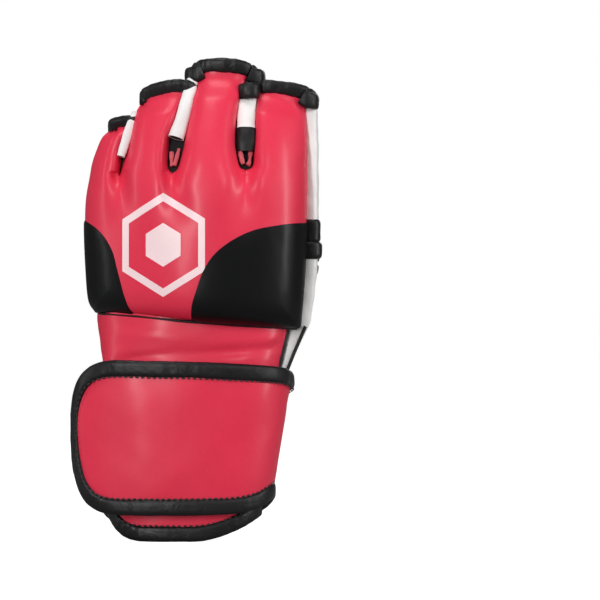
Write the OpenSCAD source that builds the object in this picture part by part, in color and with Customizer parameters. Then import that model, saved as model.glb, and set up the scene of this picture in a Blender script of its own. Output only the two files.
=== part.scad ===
// Grappling glove for the left hand: open palm, split finger stalls, padded back and a wrap-round wrist strap.
// It stands on its cuff. +Z runs along the fingers, -Y is the back of the hand, +X is the thumb side.

/* [Hand hollow] */
// Width of the hollow at the hem
hem_w = 69; // [58:1:83]
// Depth of the hollow at the hem
hem_d = 40; // [33:1:48]
// Width of the hollow at the top of the strap
wrist_w = 84; // [72:1:101]
// Depth of the hollow at the top of the strap
wrist_d = 44; // [37:1:53]
// Width of the hollow under the heel of the pad
heel_w = 93; // [80:1:112]
// Width of the hollow at the knuckles
hand_w = 98; // [90:1:118]
// Depth of the hollow at the knuckles
hand_d = 26; // [22:1:31]
// Radius of the arch across the knuckles
arch_r = 67; // [60:1:80]
// How far the side panel of the palm swells out beyond the pad on the thumb side
side_swell = 17; // [14:1:20]

/* [Heights] */
// Height of the strap's lower edge at the back
strap_low = 14; // [10:1:17]
// Width of the strap, edge to edge
strap_h = 74; // [62:1:80]
// Height of the pad's heel edge
pad_low = 112; // [104:1:120]
// Height of the palm panel's lower edge
palm_low = 148; // [140:1:154]
// Height of the finger crotches, where the stalls flex
knuckle_z = 186; // [178:1:200]
// How far the hem rises at each side
hem_rise = 12; // [6:1:14]

/* [Layers] */
// Thickness of the lining
lining_t = 1.2; // [1:0.1:1.5]
// Thickness of the cuff's leather and felt
cuff_t = 2; // [1.6:0.1:2.4]
// Thickness of the loop patch
loop_t = 0.8; // [0.6:0.1:1]
// Thickness of the hook patch
hook_t = 1; // [0.8:0.1:1.2]
// Thickness of the strap
strap_t = 3; // [2.5:0.1:3.6]
// Thickness of the knuckle foam at its middle
foam_t = 15; // [12:0.5:18]
// Thickness of the foam at its side edges
foam_edge_t = 4; // [3:0.5:5]
// Thickness of the outer leather
leather_t = 1.4; // [1.2:0.1:1.8]
// How far a binding stands proud of the leather it folds over
binding_t = 0.7; // [0.5:0.1:0.9]
// Width of the bindings on the strap, cuff and palm
binding_w = 7; // [5:0.5:8]
// Width of the bindings round the thumb loop and the grip slot
narrow_w = 4.5; // [3.5:0.5:5.5]

/* [Strap] */
// How far the strap's free end stands out past the wrist
tip_reach = 14; // [11:1:17]
// Clearance between the closed strap and the cuff
closed_gap = 0.4; // [0.3:0.1:0.6]
// Half of the bare fold on each side of a strap hinge
fold_half = 3; // [2.6:0.2:3.6]

/* [Fingers] */
// Depth of a stall's hollow
stall_d = 20; // [17:1:24]
// Curl of the stalls towards the palm
curl = 20; // [16:1:24]
// Width of the binding round a stall's rim
rim_w = 6; // [5:0.5:7]
// Foam over a fingertip
tip_foam = 5; // [4:0.5:6]
// Gap below a stall's palm side, which closes as the stall flexes
flex_gap = 9; // [8:0.5:11]
// Length of the little finger's stall
little_len = 26; // [22:0.5:31]
// Length of the ring finger's stall
ring_len = 42; // [35:0.5:50]
// Length of the middle finger's stall
middle_len = 55.5; // [46:0.5:66]
// Length of the index finger's stall
index_len = 42; // [35:0.5:50]

/* [Hidden] */

RED = "#d92b45";
BLACK = "#1c1d1f";
WHITE = "#dededa";
strap_top = strap_low + strap_h;
slot_z = knuckle_z - 14;
squareness = 2.4;
seam = 0.2;

// Offsets of the layers from the hollow
cuff_in = lining_t;
cuff_out = cuff_in + cuff_t;
loop_out = cuff_out + loop_t;
hook_in = loop_out + closed_gap;
strap_in = hook_in + hook_t;
hook_out = strap_in - seam / 2;
strap_out = strap_in + strap_t;

// Angles round the hollow: 0 is the thumb side, 90 the palm, 180 the little finger's side, 270 the back
cuff_from = 172;
cuff_to = 350;
seam_angle = -9;
pad_from = 186;
pad_to = 347;
inset_thumb = 322;
inset_little = 214;
anchor_to = 214;
palm_end = cuff_from - 0.4;
hinge_little = 180;
tip_angle = 197;

// Places the hollow so that the whole glove is centred over the origin
front_reach = hand_d / 2 + 9.4 + lining_t + foam_t + leather_t;
back_reach = wrist_d / 2 + strap_out + binding_t;
centre_y = (front_reach - back_reach) / 2;

function mix(a, b, t) = a + (b - a) * t;
function clamp(t) = min(1, max(0, t));
function ease(t) = clamp(t) * clamp(t) * (3 - 2 * clamp(t));
function se(c) = sign(c) * pow(abs(c), 2 / squareness);
function unit(v) = v / norm(v);

function half_w(z) = lookup(z, [[0, hem_w], [strap_top, wrist_w], [pad_low, heel_w], [knuckle_z, hand_w]]) / 2;
function half_d(z) = lookup(z, [[0, hem_d], [strap_top, wrist_d], [palm_low, hand_d + 10], [knuckle_z, hand_d]]) / 2;
function axis_x(z) = lookup(z, [[0, -7.9], [strap_top, -3], [pad_low, -2], [knuckle_z, -1]]);
function axis_y(z) = centre_y + lookup(z, [[strap_top, 0], [palm_low, -3], [knuckle_z, -9.4]]);
arch_x = 9;
function arch_y(x, z) = lookup(z, [[strap_top, 0], [pad_low, 0.3], [knuckle_z, 1]]) * pow(x - arch_x, 2) / (2 * arch_r);

// How far the palm side stands out past the pad, by height and by angle from the thumb-side seam
function swell(z, a) = side_swell * lookup(z, [[strap_top - 20, 0], [palm_low - 8, 1], [knuckle_z, 0.8]])
    * ease((a - seam_angle) / 22) * ease((70 - a) / 50);

// A point on the hollow's wall at height z and angle a, moved out by off, with extra width on the little finger's side
function wall(z, a, off, flare = 0) =
    let (c = se(cos(a)),
         x = axis_x(z) + (half_w(z) + off) * c + flare * min(0, c),
         y = axis_y(z) + (half_d(z) + off) * se(sin(a)))
    [x + (a < 90 ? swell(z, a) : 0), y + arch_y(x, z), z];

function steps(a, b, n) = [for (i = [0 : n]) mix(a, b, i / n)];

// Angles from a to b on one grid that all layers share, so that neighbouring facets lie flat on each other
facet_deg = 8;
function arc(a, b) = concat([a],
    [for (i = [ceil((a + 1) / facet_deg) : floor((b - 1) / facet_deg)]) i * facet_deg], [b]);

// Height of the hem's lower edge, which is lowest over the middle and rises towards each side
hem_sink = 1;
function hem_z(a) = hem_rise * ease((abs(se(cos(a))) - 0.5) / 0.5) - hem_sink;

// Triangles of the sheet with that many rows and columns, starting at point first
function sheet(first, rows, cols, loop, flip) =
    [for (r = [0 : rows - 2]) for (c = [0 : cols - (loop ? 1 : 2)])
        let (p = first + r * cols + c, q = first + r * cols + (c + 1) % cols)
        each flip ? [[p, q, q + cols], [p, q + cols, p + cols]]
                  : [[q, p, q + cols], [q + cols, p, p + cols]]];

// Closed solid between two grids of points, each a list of rows that run round the hand
module slab(outer, inner, loop = false) {
    rows = len(outer);
    cols = len(outer[0]);
    n = rows * cols;
    low = [for (c = [0 : cols - (loop ? 1 : 2)]) let (q = (c + 1) % cols)
        each [[c, q, n + q], [c, n + q, n + c]]];
    high = [for (c = [0 : cols - (loop ? 1 : 2)]) let (p = n - cols + c, q = n - cols + (c + 1) % cols)
        each [[q, p, n + q], [n + q, p, n + p]]];
    start = loop ? [] : [for (r = [0 : rows - 2]) let (p = r * cols)
        each [[p + cols, p, n + p], [p + cols, n + p, n + p + cols]]];
    end = loop ? [] : [for (r = [0 : rows - 2]) let (p = r * cols + cols - 1)
        each [[p, p + cols, n + p], [n + p, p + cols, n + p + cols]]];
    polyhedron(points = [for (g = [outer, inner]) for (r = g) each r],
        faces = concat(sheet(0, rows, cols, loop, false), sheet(n, rows, cols, loop, true),
            low, high, start, end), convexity = 8);
}

// Layer of the wall from angle a0 to a1, between heights given as functions of the angle
module layer(a0, a1, lo, hi, rows, in, out, flare = 0) {
    angles = arc(a0, a1);
    slab([for (t = steps(0, 1, rows)) [for (a = angles) wall(mix(lo(a), hi(a), t), a, out, flare)]],
         [for (t = steps(0, 1, rows)) [for (a = angles) wall(mix(lo(a), hi(a), t), a, in, flare)]]);
}

// ---- Cuff ----

module hand_lining() color(BLACK)
    layer(cuff_from, cuff_to, function(a) hem_z(a) + binding_w, function(a) knuckle_z - 2, 8, 0, lining_t - seam);

module cuff_cover() color(RED)
    layer(cuff_from, cuff_to, function(a) hem_z(a) + binding_w, function(a) pad_low - 2 * binding_t, 5,
        cuff_in, cuff_out);

// The hem is cut level where it rests on the ground
module cuff_hem_binding() color(BLACK)
    difference() {
        layer(cuff_from, cuff_to, function(a) hem_z(a), function(a) hem_z(a) + binding_w - seam, 1,
            0, cuff_out + binding_t);
        translate([-100, -100, -10])
            cube([200, 200, 10]);
    }

module loop_patch() color(BLACK)
    layer(anchor_to + 4, 330, function(a) strap_low + 12, function(a) strap_top - 12, 3,
        cuff_out + seam / 2, loop_out);

module strap_anchor() color(RED)
    layer(hinge_little + 6, anchor_to, function(a) strap_low + 6, function(a) strap_top + 3, 3,
        cuff_out + seam / 2, loop_out);

// ---- Padded back ----

// Foam thickness over the hand, thinner towards its sides and its heel
function foam_off(a, z) = lining_t + mix(foam_edge_t, foam_t, pow(max(0, -sin(a)), 0.8))
    * mix(0.8, 1, ease((z - pad_low) / 30));

module knuckle_foam() color("#3a3c40") {
    angles = arc(pad_from, pad_to);
    heights = steps(pad_low, knuckle_z - 2, 5);
    slab([for (z = heights) [for (a = angles) wall(z, a, foam_off(a, z) - 2 * seam)]],
         [for (z = heights) [for (a = angles) wall(z, a, lining_t + seam / 2)]]);
}

// A panel of the outer leather over the foam
module cover_panel(a0, a1, lo, hi, rows) {
    angles = arc(a0, a1);
    slab([for (t = steps(0, 1, rows)) [for (a = angles) let (z = mix(lo(a), hi(a), t))
             wall(z, a, foam_off(a, z) + leather_t)]],
         [for (t = steps(0, 1, rows)) [for (a = angles) let (z = mix(lo(a), hi(a), t))
             wall(z, a, foam_off(a, z))]]);
}

// Height of the seam where the red leather meets the black insets
function inset_top(a) = a > 270
    ? mix(pad_low, 154, pow(clamp((a - 284) / (inset_thumb - 284)), 0.45))
    : mix(pad_low, 160, pow(clamp((inset_little + 22 - a) / 28), 0.6));

module back_cover() color(RED)
    cover_panel(pad_from, pad_to, function(a) inset_top(a) + seam, function(a) knuckle_z - 1, 5);

module thumb_side_inset() color(BLACK)
    cover_panel(286, pad_to, function(a) pad_low, function(a) inset_top(a), 4);

module little_side_inset() color(BLACK)
    cover_panel(pad_from, inset_little + 20, function(a) pad_low, function(a) inset_top(a), 4);

// Angle of the back at a distance across the hand: the wall's superellipse turned round
function back_angle(x, z) = let (c = (x - axis_x(z)) / (half_w(z) + foam_t))
    360 - acos(sign(c) * pow(abs(c), squareness / 2));

// Six-sided badge printed on the back, a little proud of the leather
module emblem_patch() color("#f4b9c0") {
    badge_r = 19;
    badge_x = -16;
    badge_z = 149;
    badge_t = 0.4;
    rows = 6;
    points = [for (i = [0 : rows]) let (t = -1 + 2 * i / rows, half = badge_r * (1 - abs(t) / 2))
        [for (s = steps(-1, 1, 8)) [badge_x + s * half, badge_z + t * badge_r * 0.866]]];
    face = function(off) [for (r = points) [for (p = r) let (a = back_angle(p[0], p[1]))
        wall(p[1], a, foam_off(a, p[1]) + leather_t + off)]];
    slab(face(2 * seam + badge_t), face(2 * seam));
}

module heel_piping() color(BLACK)
    layer(pad_from, pad_to, function(a) pad_low - 2 * binding_t, function(a) pad_low - seam, 1,
        cuff_out + seam, lining_t + foam_edge_t);

// ---- Palm ----

sleeve_t = leather_t;
function slot_top(a) = mix(knuckle_z - 1, slot_z, ease((a - 30) / 12) * ease((164 - a) / 12));

module palm_panel() color(WHITE)
    layer(4, palm_end, function(a) palm_low, function(a) slot_top(a) - narrow_w, 3, 0, sleeve_t);

module grip_slot_binding() color(BLACK)
    layer(4, palm_end, function(a) slot_top(a) - narrow_w + seam, function(a) slot_top(a), 1,
        0, sleeve_t + binding_t);

module palm_edge_binding() color(BLACK)
    layer(seam_angle, palm_end, function(a) palm_low - binding_w, function(a) palm_low - seam, 1,
        0, sleeve_t + binding_t);

// ---- Thumb loop ----

gusset_top = palm_low - binding_w - seam;
gusset_low = strap_top - 10;
gusset_end = 3;

// The loop leaves the side seam along a slanting line
loop_drop = 27;
loop_spread = 18;
function loop_root(a) = gusset_top - loop_drop * (a - seam_angle) / loop_spread - 3 * seam;

module side_gusset() color(WHITE)
    layer(seam_angle, gusset_end, function(a) gusset_low, function(a) loop_root(a), 6, 0, sleeve_t);

module thumb_hole_binding() color(BLACK)
    layer(gusset_end + seam, 8, function(a) gusset_low, function(a) loop_root(a), 6, 0, sleeve_t + binding_t);

// Edges of the thumb loop as [angle, height] along its run from the side seam to the wrist
function loop_upper(t) = [mix(seam_angle, 100, pow(t, 0.8)), mix(gusset_top, strap_top - 24, ease(t * 0.5) * 2)];
function loop_lower(t) = [mix(seam_angle + loop_spread, 74, t),
    mix(gusset_top - loop_drop, strap_top - 24, pow(t, 1.8))];
function loop_point(t, s, off) = let (u = loop_upper(t), l = loop_lower(t), a = mix(l[0], u[0], s))
    wall(mix(l[1], u[1], s), a, off + 4 * sin(180 * clamp(1.25 * t)) * (1 - s));

// Ribbon of the thumb loop between the shares s0 and s1 of its width
module loop_ribbon(s0, s1, rows, proud) {
    runs = steps(0, 1, 18);
    slab([for (s = steps(s0(0), s1(0), rows)) [for (t = runs)
             loop_point(t, mix(s0(t), s1(t), (s - s0(0)) / (s1(0) - s0(0))), sleeve_t + proud)]],
         [for (s = steps(s0(0), s1(0), rows)) [for (t = runs)
             loop_point(t, mix(s0(t), s1(t), (s - s0(0)) / (s1(0) - s0(0))), 0)]]);
}

loop_share = narrow_w / loop_drop;

module thumb_loop_band() color(WHITE)
    loop_ribbon(function(t) loop_share, function(t) 1 - loop_share, 3, 0);

module thumb_loop_upper_binding() color(BLACK)
    loop_ribbon(function(t) 1 - loop_share + 0.01, function(t) 1, 1, binding_t);

module thumb_loop_lower_binding() color(BLACK)
    loop_ribbon(function(t) 0, function(t) loop_share - 0.01, 1, binding_t);

// ---- Strap ----

// Heights of the strap's edges at an angle: the palm run sits lower, the free end is rounded
function palm_share(a) = ease((sin(a) + 0.2) / 0.9);
function strap_mid(a) = strap_low + strap_h / 2 - palm_share(a) * (strap_low / 2 + 3);
function strap_half(a) = strap_h / 2 - palm_share(a) * 3;
function round_end(share) = pow(1 - pow(clamp(share), 2.4), 1 / 2.4);

// Angles at which the strap stops short of its hinges
fold_deg = fold_half * 180 / (PI * wrist_d / 2);
palm_from = fold_deg;
palm_to = hinge_little - fold_deg;
back_from = 360 - fold_deg;
round_from = 238;

// A point of the strap's free run: t goes from the thumb side to the tip, s from the lower edge to the upper
function back_point(t, s, inset, off) =
    let (end = tip_angle + inset * 1.2,
         a = mix(back_from, end, 1 - pow(1 - t, 1.6)),
         half = (strap_half(a) - inset) * round_end((round_from - a) / (round_from - end)),
         z = strap_mid(a) + s * half)
    wall(z, a, off, tip_reach * ease((290 - a) / 90));

back_runs = [for (t = steps(1, 0, 30)) t];

module strap_back_panel() color(RED)
    slab([for (s = steps(-1, 1, 4)) [for (t = back_runs) back_point(min(t, 0.999), s, binding_w, strap_out)]],
         [for (s = steps(-1, 1, 4)) [for (t = back_runs) back_point(min(t, 0.999), s, binding_w, strap_in)]]);

// Fold of tape round the free run's three edges: up one side, round the tip and back along the other
module strap_back_binding() color(BLACK) {
    path = concat([for (t = steps(0, 1, 26)) [t, -1]], [for (t = steps(1, 0, 26)) if (t < 1) [t, 1]]);
    edge = function(inset, off) [for (p = path) back_point(p[0], p[1], inset, off)];
    slab([edge(binding_w - seam, strap_out + binding_t), edge(0, strap_out + binding_t)],
         [edge(binding_w - seam, strap_in - 0.2), edge(0, strap_in - 0.2)]);
}

module hook_patch() color(BLACK)
    slab([for (s = steps(-0.5, 0.5, 3)) [for (t = steps(0.9, 0.32, 10)) back_point(t, s, binding_w + 2, hook_out)]],
         [for (s = steps(-0.5, 0.5, 3)) [for (t = steps(0.9, 0.32, 10)) back_point(t, s, binding_w + 2, hook_in)]]);

module strap_palm_panel() color(RED)
    layer(palm_from, palm_to, function(a) strap_mid(a) - strap_half(a) + binding_w,
        function(a) strap_mid(a) + strap_half(a) - binding_w, 4, strap_in, strap_out);

module strap_palm_bindings() color(BLACK)
    for (side = [-1, 1])
        layer(palm_from, palm_to,
            function(a) strap_mid(a) + side * strap_half(a) + (side < 0 ? 0 : seam - binding_w),
            function(a) strap_mid(a) + side * strap_half(a) + (side < 0 ? binding_w - seam : 0), 1,
            strap_in - 0.2, strap_out + binding_t);

// ---- Finger stalls ----

// Each finger: [x of its hollow at the crotch line, roll of its pad, lean to the thumb, length, outer half width].
// The four stalls share out the width of the hand.
hand_share = hand_w / 98;
little = [-41 * hand_share, 36, -5, little_len, 9.8 * hand_share];
ring = [-19 * hand_share, 20, -1, ring_len, 11.2 * hand_share];
middle = [6.1 * hand_share, 3, 6, middle_len, 11.8 * hand_share];
index = [31.8 * hand_share, -16, 13, index_len, 12 * hand_share];

function stall_base(f) = [f[0], axis_y(knuckle_z) + arch_y(f[0], knuckle_z), knuckle_z];
function stall_w(f) = unit([tan(f[2]) + tan(curl) * sin(f[1]), tan(curl) * cos(f[1]), 1]);
function stall_u(f) = let (flat = [cos(f[1]), -sin(f[1]), 0]) unit(flat - (flat * stall_w(f)) * stall_w(f));
function stall_v(f) = cross(stall_w(f), stall_u(f));

// A point of a stall's wall: w along the finger, angle a as round the hand, off out of the hollow.
// Beyond the sleeve's thickness only the depth grows, and the palm side is narrower, so that neighbours stay clear.
palm_taper = 0.3;
function stall(f, w, a, off) =
    let (half = (f[4] - sleeve_t + min(off, sleeve_t)) * (1 - palm_taper * max(0, sin(a))),
         depth = stall_d / 2 + off)
    stall_base(f) + w * stall_w(f) + half * se(cos(a)) * stall_u(f) + depth * se(sin(a)) * stall_v(f);

// Distance along the finger at which the wall point of that angle and offset is lift above the crotch line
function stall_foot(f, a, off, lift) = (knuckle_z + lift - stall(f, 0, a, off)[2]) / stall_w(f)[2];

side_edge = 14;
foot_gap = 1.2;
rim_start = rim_w + seam;
function stall_foam(f, a, w) = sleeve_t + mix(foam_t - 2, tip_foam, ease(w / f[3])) * pow(max(0, -sin(a)), 0.9);
sleeve_low = function(a) mix(flex_gap / 2, flex_gap, clamp(1.4 * sin(a)));

// One layer of a stall, whose foot lies level along the crotch line
module stall_layer(f, a0, a1, n, lift, in, out) {
    angles = steps(a0, a1, n);
    point = function(a, t, off)
        let (foot = stall_foot(f, a, off(a, 0), lift(a)), w = mix(foot, f[3] - rim_start, t))
        stall(f, w, a, off(a, w));
    slab([for (t = steps(0, 1, 5)) [for (a = angles) point(a, t, out)]],
         [for (t = steps(0, 1, 5)) [for (a = angles) point(a, t, in)]]);
}

module stall_foam_pad(f) color("#3a3c40")
    stall_layer(f, 180 + side_edge, 360 - side_edge, 14, function(a) foot_gap,
        function(a, w) 0, function(a, w) stall_foam(f, a, w));

module stall_cover(f) color(RED)
    stall_layer(f, 180 + side_edge, 360 - side_edge, 14, function(a) foot_gap,
        function(a, w) stall_foam(f, a, w), function(a, w) stall_foam(f, a, w) + leather_t);

module stall_sleeve(f) color(WHITE)
    stall_layer(f, seam - side_edge, 180 + side_edge - seam, 16, sleeve_low,
        function(a, w) 0, function(a, w) sleeve_t);

module stall_rim(f) color(BLACK) {
    angles = [for (i = [0 : 23]) i * 15];
    ends = [f[3] - rim_w, f[3]];
    proud = function(a) max(sleeve_t, stall_foam(f, a, f[3]) + leather_t) + binding_t;
    slab([for (w = ends) [for (a = angles) stall(f, w, a, proud(a))]],
         [for (w = ends) [for (a = angles) stall(f, w, a, 0)]], true);
}

hand_lining();
cuff_cover();
cuff_hem_binding();
loop_patch();
strap_anchor();
knuckle_foam();
back_cover();
thumb_side_inset();
little_side_inset();
emblem_patch();
heel_piping();
palm_panel();
grip_slot_binding();
palm_edge_binding();
side_gusset();
thumb_hole_binding();
thumb_loop_band();
thumb_loop_upper_binding();
thumb_loop_lower_binding();
strap_palm_panel();
strap_palm_bindings();
strap_back_panel();
strap_back_binding();
hook_patch();
stall_cover(little);  // little_cover
stall_foam_pad(little);  // little_foam
stall_sleeve(little);  // little_sleeve
stall_rim(little);  // little_rim
stall_cover(ring);  // ring_cover
stall_foam_pad(ring);  // ring_foam
stall_sleeve(ring);  // ring_sleeve
stall_rim(ring);  // ring_rim
stall_cover(middle);  // middle_cover
stall_foam_pad(middle);  // middle_foam
stall_sleeve(middle);  // middle_sleeve
stall_rim(middle);  // middle_rim
stall_cover(index);  // index_cover
stall_foam_pad(index);  // index_foam
stall_sleeve(index);  // index_sleeve
stall_rim(index);  // index_rim
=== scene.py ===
"""Grappling glove for the left hand, dressed over its fixed frame.

The hand's hollow is a stack of squarish ovals. Cuff, lining, palm and strap are layers of that hollow's wall.
The padded back is a height field over the outline of the hand and its four finger stalls.
Lengths are in millimetres until a mesh is made.
"""
import logging
import math
from dataclasses import dataclass, field
from enum import Enum
from typing import Callable, Sequence

import bpy
import numpy as np
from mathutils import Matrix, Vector


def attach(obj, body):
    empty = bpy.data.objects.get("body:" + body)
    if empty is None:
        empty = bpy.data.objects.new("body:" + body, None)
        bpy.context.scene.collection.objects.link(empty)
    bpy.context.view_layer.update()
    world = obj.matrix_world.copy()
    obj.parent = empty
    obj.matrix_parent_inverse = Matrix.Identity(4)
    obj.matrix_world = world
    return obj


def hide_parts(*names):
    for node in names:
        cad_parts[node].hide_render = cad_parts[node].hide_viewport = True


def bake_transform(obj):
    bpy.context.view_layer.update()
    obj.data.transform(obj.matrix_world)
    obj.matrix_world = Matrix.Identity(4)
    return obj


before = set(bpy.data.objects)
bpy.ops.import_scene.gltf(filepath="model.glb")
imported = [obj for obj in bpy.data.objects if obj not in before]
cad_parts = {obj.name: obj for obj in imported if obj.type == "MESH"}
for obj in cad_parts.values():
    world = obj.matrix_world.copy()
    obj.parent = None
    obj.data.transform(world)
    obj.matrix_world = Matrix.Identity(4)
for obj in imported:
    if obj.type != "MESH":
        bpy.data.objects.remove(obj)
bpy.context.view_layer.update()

MM = 0.001
SHARP_EDGE = math.radians(50)
LOG = logging.getLogger("glove")
Array = np.ndarray
Colour = tuple[float, float, float]


# ---------------------------------------------------------------- numbers and curves


def mix(a: Array, b: Array, t: Array) -> Array:
    """Straight blend: a where t is 0 and b where t is 1."""
    return a + (b - a) * t


def ease(t: Array) -> Array:
    """Smooth step: t clipped to 0..1, then t squared times (3 - 2t)."""
    t = np.clip(t, 0, 1)
    return t * t * (3 - 2 * t)


def se(c: Array, power: float = 2.4) -> Array:
    """Superellipse co-ordinate: the sign of c times |c| to the power 2 / power."""
    return np.sign(c) * np.abs(c) ** (2 / power)


def roll_off(t: Array) -> Array:
    """Quarter circle: 0 at t = 0, rising steeply, level at 1 from t = 1."""
    return np.sqrt(np.clip(1 - (1 - np.clip(t, 0, 1)) ** 2, 0, 1))


def bump(t: Array, centre: float, width: float) -> Array:
    """Gaussian bell of t round centre."""
    return np.exp(-(((t - centre) / width) ** 2))


def unit(v: Array) -> Array:
    """Vectors scaled to length one."""
    return v / np.maximum(np.linalg.norm(v, axis=-1, keepdims=True), 1e-9)


def spline(points: Sequence[Sequence[float]], n: int, closed: bool = False) -> Array:
    """Catmull-Rom curve through points, sampled at n evenly spaced lengths.

    Args:
        points: control points of any dimension.
        n: number of samples.
        closed: whether the last point joins the first; the repeated end is left out.

    Returns:
        Array of n points.
    """
    p = np.asarray(points, float)
    ext = np.vstack([p[-1:], p, p[:2]]) if closed else np.vstack(
        [2 * p[:1] - p[1:2], p, 2 * p[-1:] - p[-2:-1]]
    )
    segs = len(ext) - 3
    t = np.linspace(0, 1, 24, endpoint=False)[None, :, None]
    a, b, c, d = (ext[i : i + segs][:, None, :] for i in range(4))
    q = 0.5 * (2 * b + (c - a) * t + (2 * a - 5 * b + 4 * c - d) * t**2 + (3 * b - a - 3 * c + d) * t**3)
    q = np.vstack([q.reshape(-1, p.shape[1]), p[:1] if closed else p[-1:]])
    s = np.concatenate([[0], np.cumsum(np.linalg.norm(np.diff(q, axis=0), axis=1))])
    u = np.linspace(0, s[-1], n + 1 if closed else n)
    out = np.column_stack([np.interp(u, s, q[:, k]) for k in range(p.shape[1])])
    return out[:-1] if closed else out


def along(path: Array, t: Array) -> Array:
    """Points of a polyline at shares t of its length."""
    s = np.concatenate([[0], np.cumsum(np.linalg.norm(np.diff(path, axis=0), axis=1))])
    return np.stack([np.interp(np.asarray(t) * s[-1], s, path[:, k]) for k in range(path.shape[1])], -1)


def ripple(p: Array, wave: float, amp: float, seed: int) -> Array:
    """Soft unevenness: the mean of ten seeded sine waves with wavelengths near wave, times amp."""
    rng = np.random.default_rng(seed)
    k = unit(rng.normal(size=(10, 3))) * (2 * math.pi / wave) * rng.uniform(0.6, 1.5, (10, 1))
    return amp * 1.6 * np.sin(p @ k.T + rng.uniform(0, 6.28, 10)).mean(-1)


# ---------------------------------------------------------------- meshes


def quads(rows: int, cols: int, wrap_rows: bool = False, wrap_cols: bool = False, first: int = 0) -> Array:
    """Faces of a grid whose vertices are numbered row by row from first."""
    r, c = np.meshgrid(
        np.arange(rows - (not wrap_rows)), np.arange(cols - (not wrap_cols)), indexing="ij"
    )
    r2, c2 = (r + 1) % rows, (c + 1) % cols
    return first + np.stack([r * cols + c, r * cols + c2, r2 * cols + c2, r2 * cols + c], -1).reshape(-1, 4)


def grid_normals(g: Array, wrap_cols: bool = False) -> Array:
    """Unit normals of a grid of points: the cross product of the differences along rows and along columns."""
    du = np.gradient(g, axis=0)
    dv = (np.roll(g, -1, 1) - np.roll(g, 1, 1)) if wrap_cols else np.gradient(g, axis=1)
    return unit(np.cross(du, dv))


@dataclass
class Shape:
    """A mesh in the making: vertices in millimetres, four-cornered faces and each face's material number."""

    verts: Array
    faces: Array
    mats: Array = None
    normals: Array = None

    def __post_init__(self) -> None:
        """Gives every face material 0 where none is set."""
        if self.mats is None:
            self.mats = np.zeros(len(self.faces), int)

    def volume(self) -> float:
        """Signed volume: the sum over both triangles of each face of a . (b x c) / 6."""
        a, b, c, d = (self.verts[self.faces[:, i]] for i in range(4))
        return float(
            (np.einsum("ij,ij->i", a, np.cross(b, c)) + np.einsum("ij,ij->i", a, np.cross(c, d))).sum() / 6
        )

    def outward(self) -> "Shape":
        """Turns every face round if the closed shape is inside out."""
        if self.volume() < 0:
            self.faces = self.faces[:, ::-1]
        return self

    def plus(self, other: "Shape") -> "Shape":
        """This shape and another as one."""
        shapes = [self, other]
        starts = np.cumsum([0] + [len(s.verts) for s in shapes[:-1]])
        return Shape(
            np.vstack([s.verts for s in shapes]),
            np.vstack([s.faces + o for s, o in zip(shapes, starts)]),
            np.concatenate([s.mats for s in shapes]),
        )


def shell(outer: Array, inner: Array, wrap: bool = False, inner_mat: int = 0) -> Shape:
    """Closed solid between two grids of points of the same size.

    Args:
        outer: rows x columns x 3 grid of one side.
        inner: the same for the other side.
        wrap: whether the last column joins the first.
        inner_mat: material number of the inner side.

    Returns:
        The solid, with its faces outward.
    """
    rows, cols = outer.shape[:2]
    n = rows * cols
    top = quads(rows, cols, wrap_cols=wrap)
    low = top[:, ::-1] + n
    r, c = np.arange(rows - 1), np.arange(cols - (not wrap))
    c2 = (c + 1) % cols
    rims = [
        np.stack([c2, c, c + n, c2 + n], -1),
        np.stack([n - cols + c, n - cols + c2, 2 * n - cols + c2, 2 * n - cols + c], -1),
    ]
    if not wrap:
        a, b = r * cols, r * cols + cols - 1
        rims += [
            np.stack([a, a + cols, a + cols + n, a + n], -1), np.stack([b + cols, b, b + n, b + cols + n], -1)
        ]
    faces = np.vstack([top, low, *rims])
    mats = np.zeros(len(faces), int)
    mats[len(top) : len(top) + len(low)] = inner_mat
    return Shape(np.vstack([outer.reshape(-1, 3), inner.reshape(-1, 3)]), faces, mats).outward()


def sweep(
    path: Array, side: Array, up: Array, wide: Array, thick: Array, closed: bool = False, power: float = 2.6,
    ring: int = 18
) -> Shape:
    """Tape or cord: a superellipse of half axes wide / 2 along side and thick / 2 along up, swept along path.

    Args:
        path: n x 3 points.
        side: n x 3 unit vectors of the first axis.
        up: n x 3 unit vectors of the second axis.
        wide: full widths, one or n.
        thick: full thicknesses, one or n.
        closed: whether the path joins up. An open one is drawn in to a rounded point at each end.
        power: squareness of the section.
        ring: points round the section.

    Returns:
        A closed shape.
    """
    n = len(path)
    wide, thick = np.broadcast_to(wide, n).copy(), np.broadcast_to(thick, n).copy()
    if not closed:
        path, side, up = (np.vstack([x[:1], x, x[-1:]]) for x in (path, side, up))
        wide, thick = (np.concatenate([[0.02 * x[0]], x, [0.02 * x[-1]]]) for x in (wide, thick))
    a = np.linspace(0, 2 * math.pi, ring, endpoint=False)
    g = (
        path[:, None]
        + side[:, None] * (wide[:, None] / 2 * se(np.cos(a), power))[..., None]
        + up[:, None] * (thick[:, None] / 2 * se(np.sin(a), power))[..., None]
    )
    faces = quads(len(g), ring, wrap_rows=closed, wrap_cols=True)
    if not closed:
        ends = [[j, (j + 1) % ring, ring - 1 - j - 1, ring - 1 - j] for j in range(ring // 2 - 1)]
        last = (len(g) - 1) * ring
        faces = np.vstack([faces, [e[::-1] for e in ends], [[last + v for v in e] for e in ends]])
    return Shape(g.reshape(-1, 3), faces).outward()


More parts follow.
